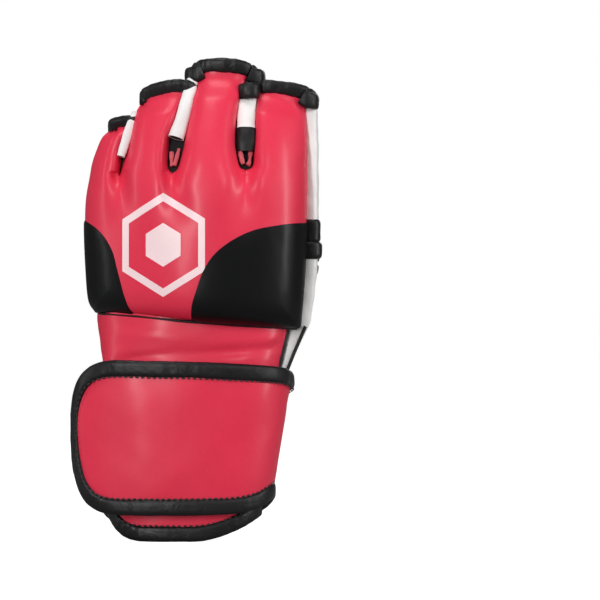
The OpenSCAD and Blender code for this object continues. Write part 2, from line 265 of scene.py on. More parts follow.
def stitches(
    path: Array, normal: Array, pitch: float = 3.4, length: float = 2.2, width: float = 0.55
) -> Shape:
    """Row of sewn stitches: one low six-sided hump on every pitch of the path.

    Args:
        path: n x 3 points on the surface.
        normal: n x 3 outward normals there.
        pitch: distance from stitch to stitch.
        length: length of one stitch.
        width: thread thickness.

    Returns:
        All stitches as one shape.
    """
    s = np.concatenate([[0], np.cumsum(np.linalg.norm(np.diff(path, axis=0), axis=1))])
    count = max(1, int(s[-1] / pitch))
    mid = (np.arange(count) + 0.5) * s[-1] / count
    at = lambda q, v: np.stack([np.interp(q, s, v[:, k]) for k in range(3)], -1)
    centre, n = at(mid, path), unit(at(mid, normal))
    t = unit(at(mid + 0.3, path) - at(mid - 0.3, path))
    b = np.cross(t, n)
    u = np.array([-1, -0.62, 0, 0.62, 1])
    r = np.sqrt(np.clip(1 - np.abs(u) ** 2.6, 0.05, 1))
    ang = np.radians([0, 60, 120, 180, 240, 300])
    v = (
        centre[:, None, None]
        + t[:, None, None] * (u[:, None] * length / 2)[None, :, :, None]
        + b[:, None, None] * (r[:, None] * np.cos(ang) * width / 2)[None, ..., None]
        + n[:, None, None] * (r[:, None] * np.sin(ang) * width / 2 + 0.1 * width)[None, ..., None]
    )
    block = np.vstack(
        [quads(5, 6, wrap_cols=True), [[0, 1, 2, 3], [0, 3, 4, 5], [27, 26, 25, 24], [29, 28, 27, 24]]]
    )
    faces = (block[None] + (np.arange(count) * 30)[:, None, None]).reshape(-1, 4)
    return Shape(v.reshape(-1, 3), faces).outward()


def make(name: str, shape: Shape, finishes: Sequence["Finish"], body: str, *nodes: str) -> bpy.types.Object:
    """Turns a shape into a piece of the glove.

    Args:
        name: the piece's name.
        shape: vertices in millimetres, faces and material numbers.
        finishes: finishes in the order of those numbers.
        body: the body it rides on, or "" to leave it unattached.
        nodes: the nodes it stands for.

    Returns:
        The new object, at the origin.
    """
    mesh = bpy.data.meshes.new(name)
    mesh.from_pydata((shape.verts * MM).tolist(), [], shape.faces.tolist())
    mesh.polygons.foreach_set("material_index", shape.mats.astype(np.int32))
    mesh.polygons.foreach_set("use_smooth", np.ones(len(shape.faces), bool))
    for finish in finishes:
        mesh.materials.append(finish.build())
    if shape.normals is not None:
        mesh.normals_split_custom_set_from_vertices(shape.normals.tolist())
    else:
        mesh.set_sharp_from_angle(angle=SHARP_EDGE)
    mesh.update()
    obj = bpy.data.objects.new(name, mesh)
    bpy.context.scene.collection.objects.link(obj)
    if body:
        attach(obj, body)
    if nodes:
        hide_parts(*nodes)
    LOG.info("%s: %d faces on %s", name, len(shape.faces), body or "two bodies")
    return obj


# ---------------------------------------------------------------- finishes


class Pattern(Enum):
    """What covers a surface at close range."""

    GRAIN = "leather grain"
    WEAVE = "crossed threads"
    PILE = "loops or hooks"


def new_group(name: str, inputs: dict[str, float], outputs: Sequence[str]) -> bpy.types.NodeTree:
    """An empty shader group with a vector input, the float inputs with their defaults, and float outputs."""
    tree = bpy.data.node_groups.new(name, "ShaderNodeTree")
    tree.interface.new_socket("Vector", in_out="INPUT", socket_type="NodeSocketVector")
    for key, value in inputs.items():
        tree.interface.new_socket(key, in_out="INPUT", socket_type="NodeSocketFloat").default_value = value
    for key in outputs:
        tree.interface.new_socket(key, in_out="OUTPUT", socket_type="NodeSocketFloat")
    return tree


@dataclass
class Wiring:
    """Short hand for adding and joining nodes in one tree."""

    tree: bpy.types.NodeTree

    def add(self, kind: str, links: dict = None, **settings) -> bpy.types.Node:
        """Adds a node, sets its properties and inputs, and links sockets given in links."""
        node = self.tree.nodes.new(kind)
        for key, value in settings.items():
            setattr(node, key, value)
        for key, value in (links or {}).items():
            if isinstance(value, bpy.types.NodeSocket):
                self.tree.links.new(value, node.inputs[key])
            else:
                node.inputs[key].default_value = value
        return node

    def math(self, op: str, a, b=0.0) -> bpy.types.NodeSocket:
        """Result of a math node."""
        return self.add("ShaderNodeMath", {0: a, 1: b}, operation=op).outputs[0]


def surface_group(pattern: Pattern) -> bpy.types.NodeTree:
    """Group that gives a surface's height and tone.

    Height is fine relief at Scale cells a metre. Tone is slow cloudiness at Cloud cells a metre.
    Both run from about 0 to 1.
    """
    name = "surface_" + pattern.name.lower()
    if name in bpy.data.node_groups:
        return bpy.data.node_groups[name]
    tree = new_group(name, {"Scale": 900.0, "Cloud": 30.0}, ["Height", "Tone"])
    w = Wiring(tree)
    inp, out = w.add("NodeGroupInput"), w.add("NodeGroupOutput")
    vec, scale = inp.outputs["Vector"], inp.outputs["Scale"]
    tone = w.add("ShaderNodeTexNoise", {"Vector": vec, "Scale": inp.outputs["Cloud"], "Detail": 3.0})
    if pattern is Pattern.GRAIN:
        warp = w.add(
            "ShaderNodeTexNoise", {"Vector": vec, "Scale": w.math("MULTIPLY", scale, 0.5), "Detail": 2.0}
        )
        push = w.add(
            "ShaderNodeVectorMath", {0: warp.outputs["Color"], 1: (0.0009, 0.0009, 0.0009)},
            operation="MULTIPLY"
        )
        moved = w.add("ShaderNodeVectorMath", {0: vec, 1: push.outputs[0]}, operation="ADD")
        cells = w.add(
            "ShaderNodeTexVoronoi", {"Vector": moved.outputs[0], "Scale": scale}, feature="DISTANCE_TO_EDGE"
        )
        pebbles = w.math("MINIMUM", w.math("MULTIPLY", cells.outputs["Distance"], 4.0), 1.0)
        pores = w.add(
            "ShaderNodeTexNoise", {"Vector": vec, "Scale": w.math("MULTIPLY", scale, 2.2), "Detail": 4.0}
        )
        height = w.math(
            "ADD", w.math("MULTIPLY", pebbles, 0.6), w.math("MULTIPLY", pores.outputs["Fac"], 0.4)
        )
    elif pattern is Pattern.WEAVE:
        threads = [
            w.add(
                "ShaderNodeTexWave", {"Vector": vec, "Scale": scale, "Distortion": 0.6, "Detail": 1.0},
                bands_direction=axis
            )
            for axis in ("DIAGONAL", "Z")
        ]
        height = w.math("MULTIPLY", threads[0].outputs["Fac"], threads[1].outputs["Fac"])
    else:
        tufts = w.add("ShaderNodeTexVoronoi", {"Vector": vec, "Scale": scale, "Randomness": 0.9})
        height = w.math("SUBTRACT", 1.0, w.math("MINIMUM", tufts.outputs["Distance"], 1.0))
    tree.links.new(height, out.inputs["Height"])
    tree.links.new(tone.outputs["Fac"], out.inputs["Tone"])
    return tree


def crease_group() -> bpy.types.NodeTree:
    """Group that gives soft creases: noise stretched along one axis, sharpened into folds by 1 - |2n - 1|."""
    if "creases" in bpy.data.node_groups:
        return bpy.data.node_groups["creases"]
    tree = new_group("creases", {"Scale": 60.0}, ["Height"])
    w = Wiring(tree)
    inp, out = w.add("NodeGroupInput"), w.add("NodeGroupOutput")
    noise = w.add(
        "ShaderNodeTexNoise",
        {"Vector": inp.outputs["Vector"], "Scale": inp.outputs["Scale"], "Detail": 3.0, "Distortion": 0.7}
    )
    fold = w.math("ABSOLUTE", w.math("SUBTRACT", w.math("MULTIPLY", noise.outputs["Fac"], 2.0), 1.0))
    tree.links.new(w.math("SUBTRACT", 1.0, fold), out.inputs["Height"])
    return tree


@dataclass(frozen=True)
class Finish:
    """One material of the glove.

    Fields: its name, the record's slot, colour on the high spots and in the low ones, roughness and its
    spread, the close pattern with its cells a metre and depth in millimetres, crease scale and depth, coat,
    sheen and specular.
    """

    name: str
    slot: str
    colour: Colour
    shade: Colour
    rough: float
    spread: float = 0.08
    pattern: Pattern = Pattern.GRAIN
    scale: float = 900.0
    depth: float = 0.05
    crease: float = 55.0
    crease_depth: float = 0.25
    coat: float = 0.0
    sheen: float = 0.0
    specular: float = 0.5

    def build(self) -> bpy.types.Material:
        """The finish as a material, made once."""
        if self.name in BUILT:
            return BUILT[self.name]
        mat = BUILT[self.name] = bpy.data.materials.new(f"{self.name}_finish")
        mat.use_nodes = True
        w = Wiring(mat.node_tree)
        mat.node_tree.nodes.clear()
        vec = w.add("ShaderNodeTexCoord").outputs["Object"]
        skin = w.add("ShaderNodeGroup", node_tree=surface_group(self.pattern))
        folds = w.add("ShaderNodeGroup", node_tree=crease_group())
        for node, key, value in (
            (skin, "Scale", self.scale), (skin, "Cloud", 26.0), (folds, "Scale", self.crease)
        ):
            node.inputs[key].default_value = value
        for node in (skin, folds):
            mat.node_tree.links.new(vec, node.inputs["Vector"])
        tint = w.add("ShaderNodeMix", {6: (*self.shade, 1), 7: (*self.colour, 1)}, data_type="RGBA")
        lift = w.add(
            "ShaderNodeMapRange",
            {
                "Value": w.math(
                    "ADD", w.math("MULTIPLY", skin.outputs["Height"], 0.55), skin.outputs["Tone"]
                ),
                1: 0.35, 2: 1.15
            },
        )
        mat.node_tree.links.new(lift.outputs[0], tint.inputs[0])
        rough = w.add(
            "ShaderNodeMapRange",
            {
                "Value": skin.outputs["Tone"], 1: 0.3, 2: 0.7, 3: self.rough - self.spread,
                4: self.rough + self.spread
            },
        )
        large = w.add(
            "ShaderNodeBump",
            {"Height": folds.outputs["Height"], "Distance": self.crease_depth * MM, "Strength": 0.6}
        )
        fine = w.add(
            "ShaderNodeBump",
            {
                "Height": skin.outputs["Height"], "Distance": self.depth * MM, "Strength": 0.8,
                "Normal": large.outputs[0]
            },
        )
        shader = w.add(
            "ShaderNodeBsdfPrincipled",
            {
                "Base Color": tint.outputs[2],
                "Roughness": rough.outputs[0],
                "Normal": fine.outputs[0],
                "Coat Weight": self.coat,
                "Coat Roughness": 0.26,
                "Sheen Weight": self.sheen,
                "Sheen Roughness": 0.5,
                "Specular IOR Level": self.specular,
            },
        )
        w.add("ShaderNodeOutputMaterial", {"Surface": shader.outputs[0]})
        return mat


BUILT: dict[str, bpy.types.Material] = {}
RED = Finish(
    name="red_leather", slot="red_leather", colour=(0.76, 0.027, 0.072), shade=(0.70, 0.018, 0.054),
    rough=0.52, spread=0.06, coat=0.26, depth=0.03, crease_depth=0.12, specular=0.30,
)
BLACK = Finish(
    name="black_leather", slot="black_leather", colour=(0.003, 0.0032, 0.0036),
    shade=(0.002, 0.0021, 0.0024), rough=0.50, spread=0.04, coat=0.14, depth=0.02, crease_depth=0.05,
    specular=0.10,
)
WHITE = Finish(
    name="white_leather", slot="white_leather", colour=(0.84, 0.83, 0.82), shade=(0.75, 0.74, 0.73),
    rough=0.48, depth=0.05, crease_depth=0.45,
)
TAPE = Finish(
    name="binding_tape", slot="binding_tape", colour=(0.008, 0.008, 0.009),
    shade=(0.0035, 0.0036, 0.004), rough=0.40, spread=0.08, scale=1300.0, depth=0.05, crease=120.0,
    crease_depth=0.5, specular=0.3,
)
LINING = Finish(
    name="lining_cloth", slot="lining_cloth", colour=(0.012, 0.011, 0.014), shade=(0.006, 0.006, 0.007),
    rough=0.78, pattern=Pattern.WEAVE, scale=420.0, depth=0.12, crease=70.0, crease_depth=0.8,
    sheen=0.25, specular=0.25,
)
CUT_EDGE = Finish(
    name="cut_leather_edge", slot="red_leather", colour=(0.66, 0.13, 0.16), shade=(0.42, 0.03, 0.05),
    rough=0.7, scale=1500.0, depth=0.15,
)
PILE = Finish(
    name="hook_and_loop", slot="hook_and_loop", colour=(0.022, 0.022, 0.024),
    shade=(0.008, 0.008, 0.009), rough=0.9, pattern=Pattern.PILE, scale=1100.0, depth=0.5, sheen=0.3,
    specular=0.2,
)
PRINT = Finish(
    name="print", slot="print", colour=(0.95, 0.74, 0.76), shade=(0.92, 0.66, 0.68), rough=0.42,
    depth=0.02, crease_depth=0.1,
)
THREAD = Finish(
    name="dark_thread", slot="binding_tape", colour=(0.035, 0.03, 0.032), shade=(0.02, 0.018, 0.02),
    rough=0.6, pattern=Pattern.WEAVE, scale=2500.0,
)


# ---------------------------------------------------------------- the hollow and its layers


@dataclass(frozen=True)
class Hollow:
    """The space for hand and wrist: squarish ovals whose size and place change with height.

    Angle 0 is the thumb side, 90 the palm, 180 the little finger's side and 270 the back.
    """

    heights: tuple = (0.0, 88.0, 112.0, 186.0)
    widths: tuple = (69.0, 84.0, 93.0, 98.0)
    centre_y: float = 4.45
    swell: float = 14.5
    seam: float = -9.0

    def wall(self, z: Array, a: Array, off: Array = 0.0, flare: Array = 0.0) -> Array:
        """Point of the wall: x = cx + (w / 2 + off) C and y = cy + (d / 2 + off) S, with C and S the
        superellipse of the angle, raised by the knuckle arch (x - 9)^2 / 134 and swollen on the thumb side
        of the palm.
        """
        z, a, off = np.broadcast_arrays(np.asarray(z, float), np.asarray(a, float), np.asarray(off, float))
        c, s = se(np.cos(np.radians(a))), se(np.sin(np.radians(a)))
        half_w = np.interp(z, self.heights, self.widths) / 2
        half_d = np.interp(z, (0, 88, 148, 186), (40, 44, 36, 26)) / 2
        x = np.interp(z, self.heights, (-7.9, -3, -2, -1)) + (half_w + off) * c + flare * np.minimum(c, 0)
        y = self.centre_y + np.interp(z, (88, 148, 186), (0, -3, -9.4)) + (half_d + off) * s
        y = y + np.interp(z, (88, 112, 186), (0, 0.3, 1)) * (x - 9) ** 2 / 134
        rise = np.interp(z, (68, 140, 186), (0, 1, 0.8)) * ease((a - self.seam) / 22) * ease((70 - a) / 50)
        return np.stack([x + self.swell * rise, y, z], -1)

    def back_depth(self, x: Array, z: Array) -> Array:
        """Depth of the wall over the back of the hand: cy - (d / 2) (1 - |C|^2.4)^(1 / 2.4) plus the arch."""
        c = np.clip(
            (
                x - np.interp(z, self.heights, (-7.9, -3, -2, -1))
            ) * 2 / np.interp(z, self.heights, self.widths),
            -1, 1
        )
        half_d = np.interp(z, (0, 88, 148, 186), (40, 44, 36, 26)) / 2
        y = self.centre_y + np.interp(
            z, (88, 148, 186), (0, -3, -9.4)
        ) - half_d * (1 - np.abs(c) ** 2.4) ** (1 / 2.4)
        return y + np.interp(z, (88, 112, 186), (0, 0.3, 1)) * (x - 9) ** 2 / 134

    def outward(self, z: Array, a: Array, flare: Array = 0.0) -> Array:
        """Unit normal of the wall, from two nearby offsets."""
        return unit(self.wall(z, a, 1.0, flare) - self.wall(z, a, 0.0, flare))


HOLLOW = Hollow()
Edge = Callable[[Array], Array]


def layer(
    a0: float, a1: float, low: Edge, high: Edge, inside: float, outside: float, rows: int = 30,
    puff: float = 0.0, rough: float = 0.25, seed: int = 1, inner_mat: int = 0,
    folds: Callable[[Array, Array], Array] = None,
) -> Shape:
    """Sheet of the hollow's wall between two angles and two edges, each edge a height for each angle.

    Args:
        a0: first angle in degrees.
        a1: last angle.
        low: height of the lower edge.
        high: height of the upper edge.
        inside: offset of the inner face.
        outside: offset of the outer face.
        rows: steps in height.
        puff: extra thickness at the middle, as 1 - s^4 across the height.
        rough: size of the soft unevenness.
        seed: seed of the unevenness.
        inner_mat: material number of the inner face.
        folds: extra offset of the outer face for each height and angle.

    Returns:
        The closed sheet.
    """
    a = np.linspace(a0, a1, max(6, int(abs(a1 - a0) / 1.8)))[None]
    t = np.linspace(0, 1, rows)[:, None]
    z = mix(low(a), high(a), t)
    base = HOLLOW.wall(z, a)
    wave = ripple(base, 26, rough, seed) + ripple(base, 11, rough * 0.4, seed + 50)
    crown = puff * (1 - (2 * t - 1) ** 4) + (0 if folds is None else folds(z, a))
    outer = HOLLOW.wall(z, a, outside + crown + wave)
    inner = HOLLOW.wall(z, a, inside + np.minimum(wave, 0))
    return shell(outer, inner, inner_mat=inner_mat)


def level(z: float) -> Edge:
    """An edge at one height."""
    return lambda a: np.full_like(np.asarray(a, float), z)


def tape_on_wall(
    a: Array, z: Array, off: float, wide: float, thick: float, seed: int
) -> tuple[Shape, Array]:
    """Tape folded over an edge of a layer: a swept section whose width lies in the wall, with small puckers.

    Args:
        a: angles of the tape's middle line.
        z: its heights.
        off: its offset from the hollow.
        wide: width along the wall.
        thick: thickness through it.
        seed: seed of its puckers.

    Returns:
        The tape and the outward normals along it.
    """
    path, up = HOLLOW.wall(z, a, off), HOLLOW.outward(z, a)
    run = unit(np.gradient(path, axis=0))
    side = unit(np.cross(up, run))
    up = unit(np.cross(run, side))
    pucker = 1 + ripple(path, 9, 0.07, seed) + ripple(path, 4.5, 0.05, seed + 9)
    return sweep(path, side, up, wide * (1 + 0.4 * (pucker - 1)), thick * pucker, power=3.2), up


# ---------------------------------------------------------------- padded back


@dataclass(frozen=True)
class Lobe:
    """Pad over one finger: its sides from crotch to tip as (x, z), how far its tip bows up, its thickness."""

    name: str
    left: tuple
    right: tuple
    bow: float
    thick: float


@dataclass
class PaddedBack:
    """The red pad over the back of the hand and fingers.

    Its face is y = face(x, z) + share * (lip (1 - q(d / 7)) + crown (1 - q(d / 13))), where d is the
    distance to the outline, q a quarter circle, and share thins the pad towards tips and heel.
    """

    columns: int = 26
    hand_rows: int = 72
    lobe_rows: int = 54
    lip: float = 7.0
    crown: float = 6.5
    wall: float = 6.0
    valley: float = 5.2
    borders: tuple = (
        ((-52.2, 115.5), (-55.8, 121.5), (-57.3, 136.5), (-58.2, 156.5), (-57.8, 172.5), (-55.7, 185.0)),
        ((-29.5, 113.8), (-35.5, 150.0), (-39.6, 185.3)),
        ((-7.0, 111.5), (-10.0, 150.0), (-12.4, 185.5)),
        ((21.0, 109.3), (23.0, 150.0), (24.6, 187.2)),
        ((51.7, 107.5), (53.3, 126.5), (54.5, 146.5), (55.4, 176.5), (55.4, 187.0)),
    )
    lobes: tuple = (
        Lobe(
            name="little",
            left=((-55.7, 185.0), (-54.6, 191.0), (-52.4, 197.5), (-49.2, 204.8), (-44.0, 211.5)),
            right=((-39.6, 185.3), (-39.2, 191.0), (-38.6, 198.0), (-35.2, 211.8)), bow=1.4, thick=0.9,
        ),
        Lobe(
            name="ring",
            left=(
                (-39.6, 185.3), (-38.0, 190.5), (-36.2, 196.5), (-34.9, 204.0), (-32.4, 215.6),
                (-28.4, 224.8),
            ),
            right=(
                (-12.4, 185.5), (-13.9, 186.7), (-14.5, 190.0), (-14.3, 198.0), (-13.6, 204.0),
                (-11.0, 211.5), (-7.4, 227.5),
            ),
            bow=2.2, thick=1.0,
        ),
        Lobe(
            name="middle",
            left=(
                (-12.4, 185.5), (-10.4, 186.7), (-9.0, 190.0), (-7.0, 198.0), (-5.8, 206.0),
                (-4.1, 214.0), (-2.4, 223.0), (1.2, 236.4),
            ),
            right=(
                (24.6, 187.2), (22.3, 187.8), (21.0, 190.5), (19.6, 198.0), (19.4, 206.0), (19.8, 213.0),
                (21.2, 223.5), (25.4, 236.0),
            ),
            bow=4.2, thick=1.0,
        ),
        Lobe(
            name="index",
            left=(
                (24.6, 187.2), (26.9, 187.8), (28.2, 190.5), (28.7, 197.0), (29.2, 205.0), (29.5, 215.0),
                (30.6, 227.4),
            ),
            right=((55.4, 187.0), (55.3, 201.5), (55.0, 212.0), (54.0, 222.0)), bow=3.4, thick=0.72,
        ),
    )
    tips: Sequence[Array] = ()
    outline: Array = field(init=False)

    def __post_init__(self) -> None:
        """Builds the flat grids and the outline."""
        n = self.columns
        rows = np.linspace(0, 1, self.hand_rows)
        curves = [along(spline(b, 200), rows) for b in self.borders]
        u = 0.5 - 0.5 * np.cos(np.pi * np.linspace(0, 1, n + 1))
        u = mix(np.linspace(0, 1, n + 1), u, 0.65)
        strips = [mix(l[:, None], r[:, None], u[None, :, None]) for l, r in zip(curves, curves[1:])]
        self.hand = np.concatenate([s[:, :-1] for s in strips] + [strips[-1][:, -1:]], 1)
        t = np.linspace(0, 1, self.lobe_rows)[1:]
        t = mix(t, np.sin(t * math.pi / 2), 0.35)
        self.lobe_t = t
        self.fingers = []
        for lobe in self.lobes:
            left, right = (along(spline(side, 200), t) for side in (lobe.left, lobe.right))
            g = mix(left[:, None], right[:, None], u[None, :, None])
            g[..., 1] += lobe.bow * (t[:, None] ** 4) * (4 * u * (1 - u)) ** 0.8
            line = self.tips[len(self.fingers)]
            rise = np.interp(g[-1, :, 0], line[:, 0], line[:, 2]) - 0.6 - g[-1, :, 1]
            g[..., 1] += rise * t[:, None] ** 5
            self.fingers.append(g)
        self.number()

    def number(self) -> None:
        """Numbers the vertices of hand and lobes, and lists the outline as one loop of vertex numbers."""
        n, rows, cols = self.columns, self.hand_rows, self.hand.shape[1]
        ids = np.arange(rows * cols).reshape(rows, cols)
        self.flat = [self.hand.reshape(-1, 2)]
        self.share = [np.ones(rows * cols)]
        start = rows * cols
        self.face_sets = {"hand": quads(rows, cols)}
        loop = []
        tops = []
        self.pull, self.tip_y = [np.zeros(rows * cols)], [np.zeros(rows * cols)]
        self.wall_at = [np.full(rows * cols, self.wall)]
        for i, (lobe, g) in enumerate(zip(self.lobes, self.fingers)):
            own = start + np.arange(g.shape[0] * (n + 1)).reshape(-1, n + 1)
            start += own.size
            full = np.vstack([ids[-1, i * n : (i + 1) * n + 1], own])
            local = quads(*full.shape)
            self.face_sets[lobe.name] = full.ravel()[local]
            self.flat.append(g.reshape(-1, 2))
            self.share.append(
                np.repeat(mix(1, lobe.thick, ease(self.lobe_t / 0.3)) * (1 - 0.86 * self.lobe_t**2.2), n + 1)
            )
            self.wall_at.append(np.repeat(mix(self.wall, 2.0, ease(self.lobe_t / 0.15)), n + 1))
            self.pull.append(np.repeat(ease((self.lobe_t - 0.7) / 0.3), n + 1))
            self.tip_y.append(np.interp(g[..., 0].ravel(), self.tips[i][:, 0], self.tips[i][:, 1]))
            tops += list(full[-1])
            loop.append(full)
        around = list(ids[0]) + list(ids[1:-1, -1])
        for full in reversed(loop):
            around += list(full[:, -1]) + list(full[-1, ::-1][1:-1]) + list(full[1:, 0][::-1])
        around += list(ids[1:, 0][::-1])
        self.loop = np.array(around)
        self.flat = np.vstack(self.flat)
        self.share = np.concatenate(self.share)
        self.wall_at = np.concatenate(self.wall_at)
        self.pull, self.tip_y = np.concatenate(self.pull), np.concatenate(self.tip_y)
        top = np.isin(self.loop, tops)
        self.outline = self.flat[self.loop]
        self.rounded = ~(top & np.roll(top, -1))

    def distance(self, xz: Array) -> Array:
        """Least distance from points to the outline, leaving out the segments under the rim tapes."""
        a = self.outline
        b = np.roll(a, -1, 0)
        keep = (np.linalg.norm(b - a, axis=1) > 1e-6) & self.rounded
        a, d = a[keep], (b - a)[keep]
        out = np.empty(len(xz))
        for k in range(0, len(xz), 4000):
            p = xz[k : k + 4000, None] - a[None]
            t = np.clip((p * d).sum(-1) / (d * d).sum(-1), 0, 1)
            out[k : k + 4000] = np.linalg.norm(p - t[..., None] * d, axis=-1).min(1)
        return out

    @staticmethod
    def face(x: Array, z: Array) -> Array:
        """Depth of the pad's crest: an arch across the hand, a curl over the fingers, a fall to the heel."""
        curl = 0.0055 * np.maximum(z - 165, 0) ** 2
        heel = 0.004 * np.maximum(140 - z, 0) ** 2
        return -34.2 + 0.0085 * (x - 6) ** 2 + curl + heel

    @staticmethod
    def hand_share(x: Array, z: Array) -> Array:
        """How thick the pad is on the hand: thinner at the heel and at the little finger's edge."""
        return mix(0.78, 1.0, ease((z - 110) / 30)) * (1 - 0.25 * ease((-x - 38) / 18))

    def valleys(self, x: Array, z: Array) -> Array:
        """Depth of the folds that run down from each crotch: each a bell across it, fading over 19 mm."""
        depth = np.zeros_like(x)
        for border in self.borders[1:4]:
            line = spline(border, 200)
            off = x - np.interp(z, line[:, 1], line[:, 0])
            drop = np.maximum(line[-1, 1] - z, 0)
            depth += self.valley * bump(drop, 0, 19.0) * bump(
                off, 0, 3.2 + 0.22 * drop
            ) * (z < line[-1, 1] + 1)
        return depth

    def front(self, xz: Array, share: Array) -> Array:
        """Points of the pad's outer face over (x, z)."""
        x, z = xz[:, 0], xz[:, 1]
        d = self.distance(xz)
        share = share * self.hand_share(x, z)
        y = self.face(x, z) + share * (self.lip * (1 - roll_off(d / 7)) + self.crown * (1 - roll_off(d / 13)))
        y += self.valleys(x, z) * ease(d / 4)
        p = np.stack([x, y, z], -1)
        p[:, 1] += (ripple(p, 30, 0.32, 11) + ripple(p, 10, 0.05, 12)) * ease(d / 5)
        return p

    def back(self, xz: Array, share: Array) -> Array:
        """Points of the pad's inner face over (x, z)."""
        x, z = xz[:, 0], xz[:, 1]
        share = share * self.hand_share(x, z)
        wall = self.wall_at if len(x) == len(self.wall_at) else self.wall
        lining = HOLLOW.back_depth(x, z) - 0.8 + 0.6 * np.maximum(z - 184, 0)
        return np.stack(
            [x, np.minimum(self.face(x, z) + share * (self.lip + self.crown + wall), lining), z], -1
        )

    def build(self) -> None:
        """Makes the hand's cover and the four finger covers, which share normals along the knuckle line."""
        front, back = self.front(self.flat, self.share), self.back(self.flat, self.share)
        for side, shift in ((front, -0.9), (back, 1.0)):
            side[:, 1] = mix(side[:, 1], self.tip_y + shift, self.pull)
        n, m, k = len(front), len(self.loop), 4
        step = np.linspace(0, 1, k + 1)[1:-1]
        sides = [mix(front[self.loop], back[self.loop], s) for s in step]
        verts = np.vstack([front, *sides, back])
        rings = [self.loop] + [
            n + i * m + np.arange(m) for i in range(len(sides))
        ] + [n + len(sides) * m + self.loop]
        owner = np.zeros(m, int)
        nxt = np.roll(np.arange(m), -1)
        hand_ids = self.hand.shape[0] * self.hand.shape[1]
        sizes = np.cumsum([hand_ids] + [g.shape[0] * g.shape[1] for g in self.fingers])
        for i in range(4):
            inside = lambda v: (v >= sizes[i]) & (v < sizes[i + 1])
            owner[inside(self.loop) | inside(self.loop[nxt])] = i + 1
        faces, tags = [], []
        for key, f in self.face_sets.items():
            tag = 0 if key == "hand" else 1 + [l.name for l in self.lobes].index(key)
            faces += [f, f[:, ::-1] + n + len(sides) * m]
            tags += [np.full(len(f) * 2, tag)]
        for a, b in zip(rings, rings[1:]):
            faces.append(np.stack([a[nxt], a, b, b[nxt]], -1))
            tags.append(owner)
        whole = Shape(verts, np.vstack(faces))
        tags = np.concatenate(tags)
        flip = whole.volume() < 0
        if flip:
            whole.faces = whole.faces[:, ::-1]
        normals = self.smooth_normals(whole)
        for i, name in enumerate(["hand"] + [l.name for l in self.lobes]):
            f = whole.faces[tags == i]
            used, inverse = np.unique(f, return_inverse=True)
            part = Shape(whole.verts[used], inverse.reshape(f.shape), normals=normals[used])
            if i == 0:
                obj = make("back_pad_cover", part, [RED], "hand", "back_cover", "knuckle_foam")
            else:
                obj = make(f"{name}_pad_cover", part, [RED], "", f"{name}_cover", f"{name}_foam")
                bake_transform(obj)

    @staticmethod
    def smooth_normals(shape: Shape) -> Array:
        """Vertex normals: the sum of the cross products of each face's diagonals, made unit."""
        a, b, c, d = (shape.verts[shape.faces[:, i]] for i in range(4))
        n = np.cross(c - a, d - b)
        out = np.zeros_like(shape.verts)
        for i in range(4):
            np.add.at(out, shape.faces[:, i], n)
        return unit(out)

    def overlay(self, seam: Sequence, outer: Sequence, name: str, node: str, finish: Finish) -> None:
        """Leather laid over the pad between a seam and a stretch of its outline, turned down over the side.

        Args:
            seam: (x, z) points of the inner edge.
            outer: (x, z) points of the outer edge, from the seam's first end to its last.
            name: the piece's name.
            node: the node it stands for.
            finish: its leather.
        """
        s = np.linspace(0, 1, 90)
        a, b = along(spline(seam, 300), s), along(np.asarray(outer, float), s)
        t = np.linspace(0, 1, 34) ** 0.8
        t = 1 - (1 - t) ** 1.5
        flat = mix(a[None], b[None], t[:, None, None])
        p = self.front(flat.reshape(-1, 2), 1.0).reshape(*flat.shape[:2], 3)
        edge = p[-1]
        drop = self.back(b, 1.0)
        skirt = np.stack([mix(edge, drop, v) for v in (0.2, 0.45, 0.7, 0.95)])
        g = np.concatenate([p, skirt])
        n = grid_normals(g)
        n *= np.sign((n * np.array([0.0, -1.0, 0.0])).sum(-1).mean())
        outward = np.stack([np.sign(b[:, 0]) * 1.0, 0 * s, 0 * s], -1)
        low = np.stack([0 * s, 0 * s, -1 + 0 * s], -1)
        side = unit(np.where((np.abs(b[:, 0]) > 50)[:, None], outward, low))
        n[-5:] = unit(n[-5:] * 0.3 + side[None])
        thin = 0.12 + 0.5 * roll_off(np.minimum(np.linspace(0, 4, len(g)), 1))[:, None, None]
        pinch = roll_off(np.minimum(s, 1 - s) * 25)[None, :, None]
        make(name, shell(g + n * thin * pinch, g - n * 0.5), [finish], "hand", node)

    def emblem(self, centre: tuple, size: tuple, stroke: float) -> None:
        """Six-sided ring with a smaller six-sided badge in it, printed flat on the leather.

        Args:
            centre: (x, z) of its middle.
            size: half width and half height of the ring.
            stroke: width of the ring.
        """
        corner = np.radians([30, 90, 150, 210, 270, 330, 390])
        k = np.linspace(0, 6, 121)
        cx, cz = (np.interp(k, range(7), f(corner)) for f in (np.cos, np.sin))
        shapes = []
        for outer, inner in ((1.0, 1 - stroke / size[0]), (0.42, 0.0)):
            r = np.linspace(outer, max(inner, 0.004), 8)[:, None]
            flat = np.stack([centre[0] + size[0] / 0.866 * r * cx, centre[1] + size[1] * r * cz], -1)
            p = self.front(flat.reshape(-1, 2), 1.0).reshape(*flat.shape[:2], 3)
            shapes.append(shell((p - [0, 0.12, 0])[:, :-1], (p + [0, 0.3, 0])[:, :-1], wrap=True))
        make("back_emblem", shapes[0].plus(shapes[1]), [PRINT], "hand", "emblem_patch")

